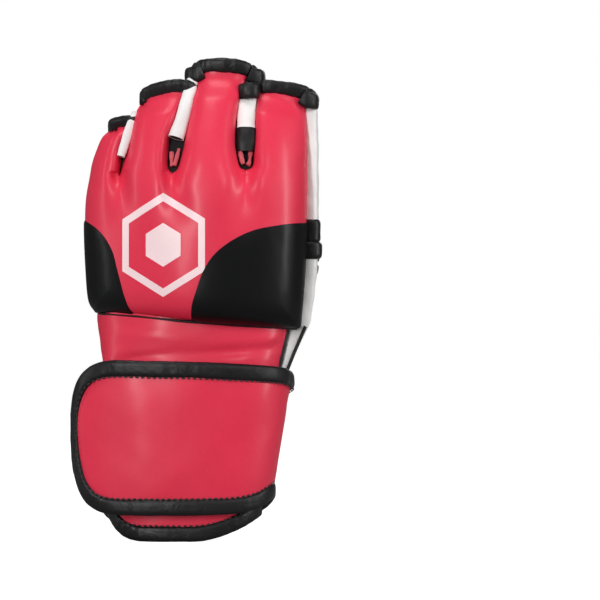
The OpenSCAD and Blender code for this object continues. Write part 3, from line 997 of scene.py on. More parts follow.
    def heel_piping(self) -> None:
        """Dark cord under the pad's heel, along the lower outline."""
        s = np.linspace(0.03, 0.97, 140)
        flat = along(self.hand[0], s)
        p = self.back(flat, np.ones(len(s)))
        f = self.front(flat, np.ones(len(s)))
        path = mix(f, p, 0.72) + [0, 0, -0.6]
        run = unit(np.gradient(path, axis=0))
        up = np.tile([0.0, 0.0, -1.0], (len(s), 1))
        make(
            "heel_edge_piping", sweep(path, unit(np.cross(run, up)), up, 6.5, 1.6), [TAPE], "hand",
            "heel_piping"
        )

    def webs(self) -> None:
        """Dark cloth at the bottom of each slit between two fingers."""
        for i, name in enumerate(("little_ring", "ring_middle", "middle_index")):
            right = self.fingers[i][:, -1]
            left = self.fingers[i + 1][:, 0]
            t = np.linspace(0, 1, 26)
            crotch = self.hand[-1, (i + 1) * self.columns]
            rows = np.array([crotch + [0, -3.0], *(0.5 * (along(right, t * 0.55) + along(left, t * 0.55)))])
            half = 5.5 + 0 * rows[:, 0]
            u = np.linspace(-1, 1, 12)
            flat = np.stack(
                [rows[:, :1] + half[:, None] * u, np.broadcast_to(rows[:, 1:], (len(rows), 12))], -1
            )
            y = self.face(flat[..., 0], flat[..., 1]) + 10.5 + 1.5 * (1 - u**2)
            g = np.stack([flat[..., 0], y, flat[..., 1]], -1)
            make(f"{name}_web_cloth", shell(g, g + [0, 1.2, 0]), [LINING], "hand")
            if i == 0:
                continue
            lips = []
            for line, inward in ((right, 1.0), (left, -1.0)):
                flat = spline(along(line, np.linspace(0.05, 0.21, 8)) + [1.75 * inward, 0.9], 40)
                path = np.stack([flat[:, 0], self.face(flat[:, 0], flat[:, 1]) + 9.6, flat[:, 1]], -1)
                run = unit(np.gradient(path, axis=0))
                side = unit(np.cross(run, [0.0, -1.0, 0.0]))
                wide = 2.1 + ripple(path, 4, 0.9, 60 + i + int(inward))
                lips.append(sweep(path, side, unit(np.cross(side, run)), wide, 1.8, ring=12))
            make(f"{name}_slit_lips", lips[0].plus(lips[1]), [CUT_EDGE], "hand")


# ---------------------------------------------------------------- finger stalls


@dataclass
class Stall:
    """One finger stall: a soft tube from the crotch to its bound mouth, pale outside and black inside.

    The section at share t is a superellipse with half axes a(t), b(t), rolled, leaning and
    tipped to the palm.
    """

    name: str
    base: tuple
    base_half: float
    base_roll: float
    mouth: tuple
    half: float
    depth: float
    roll: float
    tip: float
    slope: float
    ears: tuple
    seams: tuple

    def section(self, t: Array, angle: Array, grow: float = 0.0) -> Array:
        """Points of the tube at shares t and angles in degrees, moved out by grow."""
        t, angle = np.broadcast_arrays(np.asarray(t, float), np.asarray(angle, float))
        base, mouth = np.array([*self.base, 186.0]), np.array(self.mouth)
        bend = base + (mouth - base) * [0.35, 0.28, 0.5]
        share = t[..., None]
        centre = base * (1 - share) ** 2 + bend * (2 * share * (1 - share)) + mouth * share**2
        power = mix(2.3, 2.8, ease(-2 * np.sin(np.radians(angle))) * t)
        c, s = se(np.cos(np.radians(angle)), power), se(np.sin(np.radians(angle)), power)
        ear = np.where(c > 0, self.ears[1], self.ears[0]) * bump(s, -0.1, 0.8) * t**3
        a = (mix(self.base_half, self.half, t) * (1 - 0.12 * np.maximum(s, 0)) + ear + grow) * c
        under_pad = 3.0 * np.maximum(-s, 0) * (1 - bump(t, 1.0, 0.07))
        b = (mix(9.5, self.depth, t) + grow - under_pad) * s
        roll = np.radians(mix(self.base_roll, self.roll, t))
        tip, slope = mix(0.15, self.tip, t), self.slope * t
        x = centre[..., 0] + a * np.cos(roll) + b * np.sin(roll)
        y = centre[..., 1] - a * np.sin(roll) + b * np.cos(roll)
        z = centre[..., 2] - tip * b + slope * a
        return np.stack([x, y, z], -1)

    def low(self, angle: Array) -> Array:
        """Share at which the tube starts at an angle: at the crotch in the back, higher over the palm."""
        return mix(0.03, 0.14, np.clip(np.sin(np.radians(angle)), 0, 1))

    def tip_line(self) -> Array:
        """Middle line of the rim's tape over the back of the finger, from left to right."""
        line = self.section(1.0, np.linspace(180, 360, 120), 0.2)
        return line[np.argsort(line[:, 0])]

    def build(self) -> None:
        """Makes the tube and its rim binding."""
        angle = np.linspace(0, 360, 97)[:-1][None]
        rows = np.linspace(0, 1, 34)[:, None]
        t = mix(self.low(angle), 0.985, rows)
        body = self.section(t, angle)
        seed = len(self.name)
        wrinkle = ripple(body, 12, 0.5, seed) + ripple(body, 5, 0.16, seed + 4)
        outer = self.section(t, angle)
        n = grid_normals(outer, wrap_cols=True)
        n *= np.sign((n * (outer - outer.mean(1, keepdims=True))).sum(-1).mean())
        palm = ease(np.sin(np.radians(angle)) * 1.5 + 0.6)[..., None]
        outer = outer + n * (wrinkle[..., None] * palm)
        inner = outer - n * 1.3
        tube = shell(outer, inner, wrap=True, inner_mat=1)
        obj = make(f"{self.name}_stall_sleeve", tube, [WHITE, LINING], "", f"{self.name}_sleeve")
        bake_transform(obj)
        self.rim(seed)

    def rim(self, seed: int) -> None:
        """Makes the tape round the mouth: a rounded section, nipped in where its pieces are joined."""
        angle = np.linspace(0, 360, 181)[:-1]
        path = self.section(1.0, angle, 0.2)
        axis = unit(self.section(1.0, angle, 0.2) - self.section(0.93, angle, 0.2))
        run = unit(np.roll(path, -1, 0) - np.roll(path, 1, 0))
        up = unit(np.cross(axis, run))
        up *= np.sign((up * (path - path.mean(0))).sum(-1))[:, None]
        axis = unit(np.cross(run, up))
        axis *= np.sign(axis[:, 2:3])
        nip = sum(bump((angle - s + 180) % 360, 180, 3.0) for s in self.seams)
        pucker = 1 + ripple(path, 7, 0.13, seed + 20) + ripple(path, 3.0, 0.09, seed + 21) - 0.32 * nip
        tall = 7.4 * (1 + (pucker - 1) * 0.5)
        tape = sweep(path, axis, up, tall, 5.0 * pucker, closed=True, power=2.8, ring=22)
        make(f"{self.name}_mouth_binding", tape, [TAPE], self.name, f"{self.name}_rim")


@dataclass(frozen=True)
class EarTape:
    """Short fold of rim tape over the top end of a side strip."""

    name: str
    body: str
    points: tuple
    tall: float
    thick: float = 4.4

    def build(self) -> None:
        """Makes the fold, upright tape with two soft puckers."""
        path = spline(self.points, 40)
        run = unit(np.gradient(path, axis=0))
        side = np.tile([0.0, 0.0, 1.0], (40, 1))
        side = unit(side - run * (side * run).sum(-1, keepdims=True))
        up = unit(np.cross(run, side))
        pucker = 1 + ripple(path, 6, 0.08, len(self.name)) + ripple(path, 2.8, 0.05, len(self.name) + 3)
        shape = sweep(
            path, side, up, self.tall * (1 + (pucker - 1) * 0.5), self.thick * pucker, power=3.0, ring=24
        )
        make(self.name, shape, [TAPE], self.body)


@dataclass(frozen=True)
class SideStrip:
    """Folded leather between two fingers: a flattened tube along a path, open and dark at its lower end."""

    name: str
    body: str
    points: tuple
    widths: tuple
    thick: float
    finish: Finish
    open_end: bool = True

    def build(self) -> None:
        """Makes the strip: outer skin, turned-in lip and a dark inside at its open end."""
        path = spline(self.points, 44)
        run = unit(np.gradient(path, axis=0))
        front = np.tile([0.0, -1.0, 0.15], (len(path), 1))
        side = unit(np.cross(run, front))
        up = unit(np.cross(side, run))
        wide = np.interp(np.linspace(0, 1, len(path)), np.linspace(0, 1, len(self.widths)), self.widths)
        wide = wide * (1 + ripple(path, 9, 0.05, 31))
        if not self.open_end:
            shape = sweep(path, side, up, wide, self.thick)
            mats = [self.finish]
        else:
            a = np.linspace(0, 2 * math.pi, 28, endpoint=False)
            c, s = se(np.cos(a), 2.2), se(np.sin(a), 2.2)

            def tube(inset: float) -> Array:
                """The strip's tube, drawn in by an inset."""
                across = side[:, None] * ((wide[:, None] / 2 - inset) * c)[..., None]
                return path[:, None] + across + up[:, None] * ((self.thick / 2 - inset) * s)[None, :, None]

            outer = tube(0.0)
            outer = outer + up[:, None] * ripple(outer, 8, 0.25, 32)[..., None]
            shape = shell(outer, tube(0.55), wrap=True, inner_mat=1)
            mats = [self.finish, LINING]
        obj = make(self.name, shape, mats, "")
        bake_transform(obj)


# ---------------------------------------------------------------- cuff, palm and thumb


def hem_low(a: Array) -> Array:
    """Height of the hem: level in the middle, rising slowly to the thumb's side, steeply to the other."""
    c = se(np.cos(np.radians(a)))
    thumb = 12 * (np.clip(c - 0.1, 0, 1) / 0.9) ** 2
    return thumb + 14 * (np.clip(-c - 0.35, 0, 1) / 0.65) ** 4


@dataclass
class Cuff:
    """Lining, red cuff cover, hem binding and the fastening patch sewn to the cuff."""

    start: float = 172.0
    end: float = 350.0
    creases: tuple = (
        (96.0, 296.0, 3.2, 30.0, 1.9, 0.06),
        (104.0, 250.0, 4.5, 26.0, -1.2, -0.05),
        (92.0, 236.0, 3.0, 20.0, 1.3, 0.10),
        (101.0, 318.0, 4.0, 18.0, -1.1, 0.12),
    )

    def folds(self, z: Array, a: Array) -> Array:
        """Soft folds above the strap: each crease is a bell across a slanting line, minus its depth."""
        out = np.zeros(np.broadcast(z, a).shape)
        for height, angle, wide, long, depth, slant in self.creases:
            out -= depth * bump(z - slant * (a - angle), height, wide) * bump(a, angle, long)
        return out

    def build(self) -> None:
        """Makes the cuff's pieces."""
        top = lambda a: 190 - 8 * ease((205 - a) / 30)
        lining = layer(
            self.start, self.end, lambda a: hem_low(a) + 1.5, top, inside=-0.3, outside=1.1, rows=90,
            rough=0.3, seed=5,
        )
        make("hand_lining_cloth", lining, [LINING], "hand", "hand_lining")
        cover = layer(
            self.start, self.end, lambda a: hem_low(a) + 4, level(117), inside=1.15, outside=3.2, rows=110,
            puff=0.2, rough=0.35, seed=6, folds=self.folds,
        )
        obj = make("cuff_red_cover", cover, [RED], "hand", "cuff_cover")
        a = np.linspace(self.start, self.end, 220)
        tape, up = tape_on_wall(a, hem_low(a) + 3.9, 1.9, 8.0, 4.8, seed=8)
        tape.verts[:, 2] = np.maximum(tape.verts[:, 2], 0.0)
        sewn = stitches(HOLLOW.wall(hem_low(a) + 8.1, a, 4.1), up, 2.9, 2.0, 0.9)
        make("hem_binding_tape", tape, [TAPE], "hand", "cuff_hem_binding")
        make("hem_thread", sewn, [THREAD], "hand")
        for side, angle in (("little", self.start - 1.5), ("thumb", self.end - 0.6)):
            z = np.linspace(float(hem_low(np.array(angle))) + 4, 112, 80)
            edge, _ = tape_on_wall(np.full(80, angle), z, 1.6, 5.4, 4.5, seed=9)
            make(f"cuff_edge_binding_{side}", edge, [TAPE], "hand")
        loop = layer(218, 330, level(26), level(76), inside=3.0, outside=4.4, rows=30, rough=0.05)
        make("loop_fastening", loop, [PILE], "hand", "loop_patch")


def slot_top(a: Array) -> Array:
    """Top of the palm panel: 185 at each side and 172 under the middle fingers."""
    return mix(185.0, 172.0, ease((a - 30) / 12) * ease((164 - a) / 12))


@dataclass(frozen=True)
class ThumbSide:
    """Soft side wall at the thumb side: a strip of leather that wraps from behind the pad round to the palm.

    Its section at a height runs from hidden under the pad's side, across the front from left to
    right, and back.
    """

    heights: tuple = (84.0, 96.0, 111.0, 129.0, 145.0, 161.0, 186.0, 200.0, 218.5)
    left: tuple = (40.0, 44.0, 48.5, 52.5, 54.0, 54.6, 54.8, 54.8, 54.8)
    right: tuple = (45.0, 50.0, 57.0, 59.3, 60.8, 60.8, 60.8, 60.8, 60.4)
    front: tuple = (-1.0, 0.0, 1.0, 2.5, 3.0, 2.8, 2.8, 3.4, 5.0)
    wrap: tuple = (6.0, 6.0, 6.5, 8.0, 14.0, 15.0, 15.0, 15.0, 15.0)

    def grid(self, z: Array, off: Array, columns: int = 34) -> Array:
        """Points at heights z, moved outwards by off.

        Args:
            z: heights, one for each row.
            off: outward offset for each row and column, or one for all.
            columns: points across.
        """
        xl, xr, y, wrap = (
            np.interp(z, self.heights, v) for v in (self.left, self.right, self.front, self.wrap)
        )
        w = xr - xl
        knots = np.stack(
            [
                np.stack([xl - 4, y + 4.5], -1), np.stack([xl - 0.4, y + 0.9], -1),
                np.stack([xl + 0.5 * w, y], -1),
                np.stack([xr - 0.8, y + 0.9], -1), np.stack([xr, y + 0.3 * wrap], -1),
                np.stack([xr - 0.3, y + 0.62 * wrap], -1), np.stack([xr - 0.12 * wrap, y + wrap], -1),
            ]
        )
        flat = np.stack([spline(knots[:, i], columns) for i in range(len(z))])
        g = np.stack([flat[..., 0], flat[..., 1], np.broadcast_to(z[:, None], flat.shape[:2])], -1)
        n = grid_normals(g)
        n *= np.sign((n * [1.0, -1.0, 0.0]).sum(-1).mean())
        return g + n * np.broadcast_to(np.asarray(off, float), flat.shape[:2])[..., None]

    def piece(
        self, name: str, top: float, low: float, proud: float, finish: Finish, rows: int, body: str,
        *nodes: str
    ) -> None:
        """Makes one stretch of the wall.

        Args:
            name: the piece's name.
            top: its upper height.
            low: its lower height.
            proud: how far its middle stands out past its ends.
            finish: its material.
            rows: steps in height.
            body: the body it rides on, or "" for a strip left unattached with its placement baked in.
            nodes: the nodes it stands for.
        """
        z = np.linspace(top, low, rows)
        t = np.linspace(0, 1, rows)[:, None]
        pillow = proud * roll_off(np.minimum(t, 1 - t) * (z[0] - z[-1]) / 2.4)
        g = self.grid(z, 0.0)
        wave = ripple(g, 10, 0.22, rows) + ripple(g, 4.5, 0.08, rows + 1)
        obj = make(name, shell(self.grid(z, pillow + wave), self.grid(z, -1.0)), [finish], body, *nodes)
        if not body:
            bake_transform(obj)

    def build(self) -> None:
        """Makes the index finger's side strip, the two taped seams below it and the gusset."""
        self.piece("index_side_strip", 219.5, 160.0, 0.5, WHITE, 60, "")
        self.piece("side_seam_tape_upper", 162.8, 150.8, 1.5, TAPE, 30, "hand")
        self.piece("side_seam_tape_lower", 151.6, 142.2, 2.2, TAPE, 26, "hand")
        self.piece("side_gusset_leather", 144.5, 83.0, 0.4, WHITE, 64, "hand", "side_gusset")
        z = np.linspace(108, 84, 60)
        path = self.grid(z, 0.1)[:, 22]
        run = unit(np.gradient(path, axis=0))
        out = np.tile([1.0, 0.0, 0.0], (60, 1))
        side = unit(np.cross(run, out))
        edge = sweep(path, side, unit(np.cross(side, run)), 5.0, 1.8)
        make("side_gusset_edge_tape", edge, [TAPE], "hand")


@dataclass
class Palm:
    """Pale panel across the finger roots with its two bindings, the thumb hole's edge and the thumb loop."""

    start: float = -9.0
    end: float = 171.6
    low: float = 148.0

    def bound(
        self, name: str, node: str, a: Array, z: Array, wide: float, seed: int, thick: float = 3.6
    ) -> None:
        """Makes one binding on the wall."""
        tape, _ = tape_on_wall(a, z, 0.9, wide, thick, seed=seed)
        make(name, tape, [TAPE], "hand", node)

    def build(self) -> None:
        """Makes the panel, loop and bindings."""
        panel = layer(
            self.start, self.end, level(self.low - 4), lambda a: slot_top(a) - 2, inside=0.0, outside=1.3,
            rows=30, puff=0.4, rough=0.5, seed=21, inner_mat=1,
        )
        make("palm_panel_leather", panel, [WHITE, LINING], "hand", "palm_panel")
        a = np.linspace(self.start, self.end, 160)
        self.bound("palm_edge_tape", "palm_edge_binding", a, np.full(160, self.low - 3.6), 7.2, 22)
        self.bound("grip_slot_tape", "grip_slot_binding", a, slot_top(a) - 2.2, 4.8, 23)
        z = np.linspace(76, 114, 60)
        self.bound("thumb_hole_tape", "thumb_hole_binding", np.full(60, 6.0), z, 4.2, 25, 3.2)
        self.loop()

    def loop_point(self, t: Array, s: Array, off: float) -> Array:
        """Point of the thumb loop: t along it from the side seam to the wrist, s across it from its lower
        to its upper edge.

        Each edge is a line of angle and height over the wall, and the band stands off it by
        4 sin(pi 1.25 t) (1 - s).
        """
        upper_a, upper_z = mix(-9.0, 100.0, t**0.8), mix(140.8, 64.0, ease(t * 0.5) * 2)
        lower_a, lower_z = mix(9.0, 74.0, t), mix(113.8, 64.0, t**1.8)
        a, z = mix(lower_a, upper_a, s), mix(lower_z, upper_z, s)
        return HOLLOW.wall(z, a, off + 4 * np.sin(np.pi * np.clip(1.25 * t, 0, 1)) * (1 - s))

    def loop(self) -> None:
        """Makes the thumb loop's band and its two bindings."""
        t = np.linspace(0, 1, 80)[None]
        s = np.linspace(0.06, 0.94, 18)[:, None]
        outer, inner = self.loop_point(t, s, 1.4), self.loop_point(t, s, 0.1)
        wave = ripple(outer, 14, 0.4, 26)[..., None] * grid_normals(outer)
        make(
            "thumb_loop_leather", shell(outer + wave, inner + wave, inner_mat=1), [WHITE, LINING], "hand",
            "thumb_loop_band"
        )
        t = np.linspace(0, 1, 120)
        for name, node, s in (
            ("thumb_loop_upper_tape", "thumb_loop_upper_binding", 0.93),
            ("thumb_loop_lower_tape", "thumb_loop_lower_binding", 0.07)
        ):
            path = self.loop_point(t, np.full(120, s), 0.75)
            across = unit(
                self.loop_point(
                    t, np.full(120, s + 0.03), 0.75
                ) - self.loop_point(t, np.full(120, s - 0.03), 0.75)
            )
            run = unit(np.gradient(path, axis=0))
            up = unit(np.cross(across, run))
            pucker = 1 + ripple(path, 8, 0.08, 27)
            make(
                name, sweep(path, unit(np.cross(run, up)), up, 4.8 * pucker, 3.4 * pucker, power=3), [TAPE],
                "hand", node
            )


# ---------------------------------------------------------------- wrist strap


@dataclass
class Strap:
    """Wrist strap: from its sewn end on the little finger's side, over the palm, round the thumb's side and
    across the back to a rounded free end. Angles fall along its run.
    """

    first: float = 180.0
    last: float = -163.0
    turn: float = -122.0
    tape: float = 8.2
    reach: float = 14.0
    stops: tuple = (-163.0, -140.0, -90.0, -57.0, -34.0, -18.0, -4.0, 20.0, 60.0, 100.0, 150.0, 166.0, 180.0)
    tops: tuple = (91.0, 91.5, 90.5, 89.0, 88.0, 87.0, 86.0, 82.0, 76.0, 76.0, 82.0, 85.0, 88.5)
    lows: tuple = (14.5, 13.6, 13.6, 14.2, 16.5, 20.5, 22.0, 16.0, 6.0, 4.0, 8.0, 16.0, 19.0)

    def edges(self, a: Array) -> tuple[Array, Array]:
        """Heights of the lower and the upper edge, smoothed tables of the angle."""
        fine = np.linspace(self.stops[0], self.stops[-1], 400)
        out = []
        for table in (self.lows, self.tops):
            v = np.interp(fine, self.stops, table)
            pad = np.pad(v, 20, mode="edge")
            out.append(np.interp(a, fine, np.convolve(pad, np.hanning(41) / np.hanning(41).sum(), "valid")))
        return out[0], out[1]

    def point(self, a: Array, s: Array, inset: float, off: Array) -> Array:
        """Point at angle a, with s from -1 on the lower edge to 1 on the upper, inset from the edges.

        Towards the free end the width closes as a superellipse, (1 - q^2.4)^(1 / 2.4).
        """
        a, s = np.broadcast_arrays(np.asarray(a, float), np.asarray(s, float))
        low, high = self.edges(a)
        end = self.last + inset * 1.25
        q = np.clip((self.turn - a) / (self.turn - end), 0, 1)
        half = ((high - low) / 2 - inset) * (1 - q**2.4) ** (1 / 2.4)
        z = (low + high) / 2 + s * half
        return HOLLOW.wall(z, a, off, self.flare(a))

    def flare(self, a: Array) -> Array:
        """How far the free end stands out to the side."""
        return self.reach * ease((-70 - a) / 90)

    def run(self, n: int, inset: float) -> Array:
        """Angles along the strap, closer together at the rounded end."""
        t = np.linspace(0, 1, n)
        end = self.last + inset * 1.25 + 0.02
        return mix(self.first, end, 1 - (1 - t) ** 1.25)

    def build(self) -> None:
        """Makes the strap's leather, binding, stitches, hook patch and sewn end."""
        a = self.run(230, self.tape - 2)[None]
        s = np.linspace(-1, 1, 36)[:, None]
        base = self.point(a, s, self.tape - 2, 5.4)
        wave = ripple(base, 34, 0.45, 41) + ripple(base, 12, 0.08, 42)
        crown = 0.9 * (1 - np.abs(s) ** 5)
        outer = self.point(a, s, self.tape - 2, 7.9 + crown + wave)
        inner = self.point(a, s, self.tape - 2, 5.4 + np.minimum(wave, 0.3) * 0.5)
        leather = make(
            "strap_leather", shell(outer, inner), [RED], "", "strap_palm_panel", "strap_back_panel"
        )
        self.bend(leather)
        self.binding()
        patch_a = np.linspace(-60, -128, 50)[None]
        patch_s = np.linspace(-0.62, 0.62, 20)[:, None]
        grid = lambda off: self.point(patch_a, patch_s, self.tape, off)
        make("hook_fastening", shell(grid(5.35), grid(4.5)), [PILE], "strap_back", "hook_patch")
        self.anchor()

    def bend(self, obj: bpy.types.Object) -> None:
        """Bakes a piece of the strap's placement into its mesh; it is given no bend at the fold on the
        thumb's side.
        """
        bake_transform(obj)

    def binding(self) -> None:
        """Makes the tape round the strap's lower edge, free end and upper edge, stitched along its inside."""
        mid = self.tape / 2 - 0.2
        a = self.run(260, mid)
        path = np.vstack([self.point(a, -1.0, mid, 6.9), self.point(a[::-1], 1.0, mid, 6.9)])
        angles = np.concatenate([a, a[::-1]])
        keep = np.concatenate([[True], np.linalg.norm(np.diff(path, axis=0), axis=1) > 1e-3])
        path, angles = path[keep], angles[keep]
        t = np.linspace(0, 1, 640)
        length = np.concatenate([[0], np.cumsum(np.linalg.norm(np.diff(path, axis=0), axis=1))])
        angles = np.interp(t * length[-1], length, angles)
        path = along(path, t)
        up = HOLLOW.outward(path[:, 2], angles, self.flare(angles))
        runs = unit(np.gradient(path, axis=0))
        for _ in range(3):
            runs = unit(runs + np.roll(runs, 1, 0) + np.roll(runs, -1, 0))
        side = unit(np.cross(up, runs))
        up = unit(np.cross(runs, side))
        pucker = 1 + ripple(path, 13, 0.06, 43) + ripple(path, 5, 0.05, 44)
        shape = sweep(path, side, up, self.tape * (1 + 0.4 * (pucker - 1)), 5.0 * pucker, power=3.2, ring=22)
        tape = make("strap_binding_tape", shape, [TAPE], "", "strap_palm_bindings", "strap_back_binding")
        self.bend(tape)
        inward = np.sign(((np.array([0, 0, 51.0]) - path) * side).sum(-1)[:1])
        row = path + side * inward * (self.tape / 2 + 0.2) + up * 1.55
        thread = make("strap_thread", stitches(row[4:-4], up[4:-4], 2.9, 2.0, 0.95), [THREAD], "")
        self.bend(thread)

    def anchor(self) -> None:
        """Makes the sewn end: leather that leaves the cuff under the free end and joins the palm run."""
        a = np.linspace(214, self.first, 34)[None]
        s = np.linspace(-1, 1, 30)[:, None]
        low, high = self.edges(np.clip(a, None, 184))
        z = mix(low + 1, high - 1, (s + 1) / 2)
        lift = ease((214 - a) / 26)
        outer = HOLLOW.wall(z, a, mix(5.2, 8.0, lift))
        inner = HOLLOW.wall(z, a, mix(3.3, 5.5, lift))
        obj = make("strap_sewn_end", shell(outer, inner), [RED], "", "strap_anchor")
        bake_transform(obj)


# ---------------------------------------------------------------- stage


def pale_world() -> bpy.types.World:
    """White surroundings, seen at full brightness but lighting the glove only weakly."""
    world = bpy.data.worlds.new("studio")
    world.use_nodes = True
    w = Wiring(world.node_tree)
    world.node_tree.nodes.clear()
    seen = w.add("ShaderNodeBackground", {"Color": (1, 1, 1, 1), "Strength": 1.0})
    lit = w.add("ShaderNodeBackground", {"Color": (1, 1, 1, 1), "Strength": 0.13})
    path = w.add("ShaderNodeLightPath")
    both = w.add(
        "ShaderNodeMixShader", {0: path.outputs["Is Camera Ray"], 1: lit.outputs[0], 2: seen.outputs[0]}
    )
    w.add("ShaderNodeOutputWorld", {"Surface": both.outputs[0]})
    return world


def stage() -> None:
    """Pale floor, soft lights and the camera, level with the glove's middle."""
    reach = 60.0
    corners = [(-reach, -reach, 0), (reach, -reach, 0), (reach, reach, 0), (-reach, reach, 0)]
    mesh = bpy.data.meshes.new("floor")
    mesh.from_pydata(corners, [], [(0, 1, 2, 3)])
    pale = bpy.data.materials.new("pale_floor")
    pale.use_nodes = True
    shader = pale.node_tree.nodes["Principled BSDF"]
    shader.inputs["Base Color"].default_value = (0.3, 0.3, 0.3, 1)
    shader.inputs["Roughness"].default_value = 0.95
    shader.inputs["Specular IOR Level"].default_value = 0.1
    shader.inputs["Emission Color"].default_value = (1, 1, 1, 1)
    w = Wiring(pale.node_tree)
    seen = w.add("ShaderNodeLightPath").outputs["Is Camera Ray"]
    pale.node_tree.links.new(w.math("MULTIPLY", seen, 0.955), shader.inputs["Emission Strength"])
    mesh.materials.append(pale)
    floor = bpy.data.objects.new("floor", mesh)
    bpy.context.scene.collection.objects.link(floor)
    aim = Vector((0.0, 0.0, 0.12))
    for name, place, wide, tall, power in (
        ("key", (-0.58, -1.38, 0.50), 0.14, 0.95, 12.5),
        ("front", (0.75, -1.35, 0.90), 0.20, 0.50, 4.2),
        ("strip", (1.15, -0.34, 0.28), 0.10, 1.10, 9.0),
        ("left_strip", (-1.10, -0.10, 0.30), 0.10, 1.10, 3.0),
        ("top", (-0.10, -0.25, 1.45), 0.60, 0.60, 7.5),
        ("back", (0.20, 1.30, 0.70), 0.90, 0.90, 7.0),
    ):
        light = bpy.data.lights.new(name, "AREA")
        light.shape, light.energy, light.size, light.size_y = "RECTANGLE", power, wide, tall
        lamp = bpy.data.objects.new(name, light)
        lamp.location = place
        lamp.rotation_euler = (aim - Vector(place)).to_track_quat("-Z", "Y").to_euler()
        bpy.context.scene.collection.objects.link(lamp)
    bpy.context.scene.world = pale_world()
    bpy.context.scene.view_settings.view_transform = "Standard"
    camera = bpy.data.cameras.new("camera")
    sensor, distance, field_of_view = 36.0, 1.575, 0.300
    camera.sensor_width, camera.lens = sensor, sensor * distance / field_of_view
    view = bpy.data.objects.new("camera", camera)
    view.location = (0.05175, -1.600, 0.1215)
    view.rotation_euler = (math.pi / 2, 0, 0)
    bpy.context.scene.collection.objects.link(view)
    bpy.context.scene.camera = view


STALLS = (
    Stall(
        name="little", base=(-41.0, 11.7), base_half=10.0, base_roll=36.0, mouth=(-33.0, 8.6, 206.6),
        half=9.8, depth=9.0, roll=40.0, tip=0.52, slope=0.12, ears=(0.6, 0.6), seams=(232.0, 316.0),
    ),
    Stall(
        name="ring", base=(-19.0, 0.6), base_half=11.2, base_roll=20.0, mouth=(-13.9, 5.4, 223.4),
        half=12.8, depth=10.2, roll=24.0, tip=0.50, slope=0.20, ears=(0.8, 1.2), seams=(224.0, 318.0),
    ),
    Stall(
        name="middle", base=(6.1, -4.9), base_half=11.8, base_roll=3.0, mouth=(13.6, 7.6, 233.6),
        half=13.6, depth=11.2, roll=2.0, tip=0.60, slope=-0.05, ears=(2.6, 2.2), seams=(218.0, 320.0),
    ),
    Stall(
        name="index", base=(31.8, -1.2), base_half=12.0, base_roll=-12.0, mouth=(41.6, 10.6, 224.2),
        half=14.0, depth=11.0, roll=-4.0, tip=0.44, slope=-0.12, ears=(2.4, 2.6), seams=(218.0, 320.0),
    ),
)
EARS = (
    EarTape(
        name="middle_left_ear", body="middle",
        points=((2.6, -3.0, 237.4), (-0.6, -2.6, 236.2), (-3.6, -0.4, 235.7), (-5.0, 4.0, 235.4)),
        tall=8.4,
    ),
    EarTape(
        name="middle_right_ear", body="middle",
        points=((25.6, -2.2, 236.2), (28.4, -1.6, 235.0), (31.2, 0.6, 234.6), (32.2, 5.0, 234.3)),
        tall=8.4,
    ),
    EarTape(
        name="index_left_ear", body="index",
        points=(
            (21.4, -3.0, 226.8), (22.6, -6.2, 227.1), (26.0, -7.6, 227.4), (28.6, -6.8, 227.6),
            (29.6, -3.6, 227.8),
        ),
        tall=8.2,
    ),
    EarTape(
        name="index_right_ear", body="index",
        points=((52.8, 0.6, 225.0), (55.4, 0.6, 223.3), (58.4, 2.6, 222.8), (59.4, 7.0, 222.6)),
        tall=8.4,
    ),
)
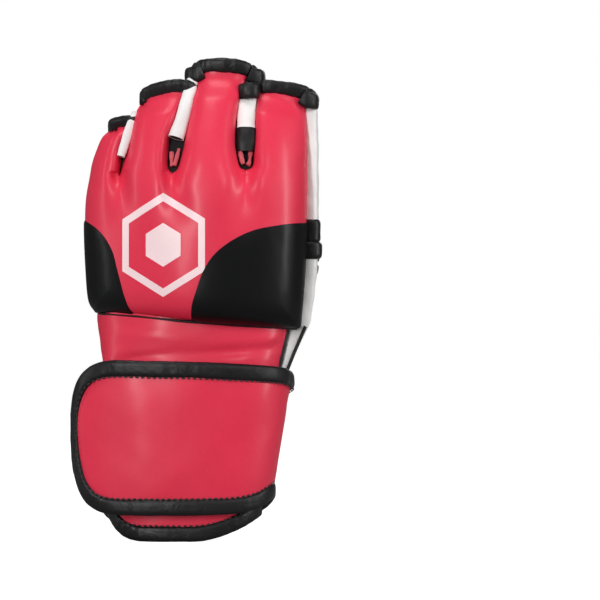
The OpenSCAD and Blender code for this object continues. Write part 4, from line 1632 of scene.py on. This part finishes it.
STRIPS = (
    SideStrip(
        name="little_ring_strip", body="ring",
        points=(
            (-32.0, 0.5, 216.5), (-32.9, -2.6, 213.8), (-34.4, -4.4, 209.0), (-37.0, -6.8, 200.0),
            (-38.8, -8.0, 194.0),
        ),
        widths=(3.6, 4.2, 4.8, 4.6, 4.2), thick=3.0, finish=WHITE,
    ),
    SideStrip(
        name="middle_left_strip", body="middle",
        points=(
            (-1.8, 1.5, 234.5), (-3.2, -2.8, 231.0), (-5.2, -9.0, 222.5), (-7.6, -13.2, 212.5),
            (-10.6, -16.4, 203.0),
        ),
        widths=(6.0, 6.6, 7.0, 7.0, 8.4), thick=4.6, finish=WHITE,
    ),
    SideStrip(
        name="index_left_strip", body="index",
        points=((25.4, 1.5, 227.0), (24.9, -3.6, 223.0), (24.6, -9.0, 214.5), (24.6, -12.6, 206.0)),
        widths=(9.2, 9.4, 9.6, 9.2), thick=4.4, finish=WHITE,
    ),
    SideStrip(
        name="index_left_strip_tape", body="index",
        points=((24.6, -12.4, 207.6), (24.5, -15.2, 201.5), (24.6, -16.4, 196.0)),
        widths=(9.8, 10.0, 8.8), thick=5.4, finish=TAPE, open_end=False,
    ),
)


def main() -> None:
    """Builds the glove piece by piece, then its stage."""
    logging.basicConfig(level=logging.INFO, format="%(name)s: %(message)s")
    stage()
    pad = PaddedBack(tips=[stall.tip_line() for stall in STALLS])
    pad.build()
    thumb_seam = (
        (55.2, 160.6), (42.7, 159.2), (28.7, 156.3), (17.7, 151.0), (9.2, 144.2), (3.7, 136.0), (0.2, 126.5),
        (-2.2, 118.5), (-2.6, 111.2)
    )
    little_seam = (
        (-58.2, 162.3), (-49.7, 156.3), (-43.2, 147.0), (-39.7, 135.0), (-36.7, 124.0), (-34.2, 117.5),
        (-31.5, 114.1)
    )
    right, left, heel = spline(pad.borders[4], 200), spline(pad.borders[0], 200), pad.hand[0]
    outer = np.vstack([right[right[:, 1] < 160.6][::-1], heel[heel[:, 0] > -2.4][::-1]])
    pad.overlay(thumb_seam, outer, "thumb_side_gloss_inset", "thumb_side_inset", BLACK)
    outer = np.vstack([left[left[:, 1] < 162.3][::-1], heel[heel[:, 0] < -31.6]])
    pad.overlay(little_seam, outer, "little_side_gloss_inset", "little_side_inset", BLACK)
    pad.emblem((-16.5, 149.0), (21.0, 26.0), 3.4)
    pad.heel_piping()
    pad.webs()
    for part in (*STALLS, *EARS, *STRIPS, ThumbSide(), Cuff(), Palm(), Strap()):
        part.build()


if __name__ == "__main__":
    main()
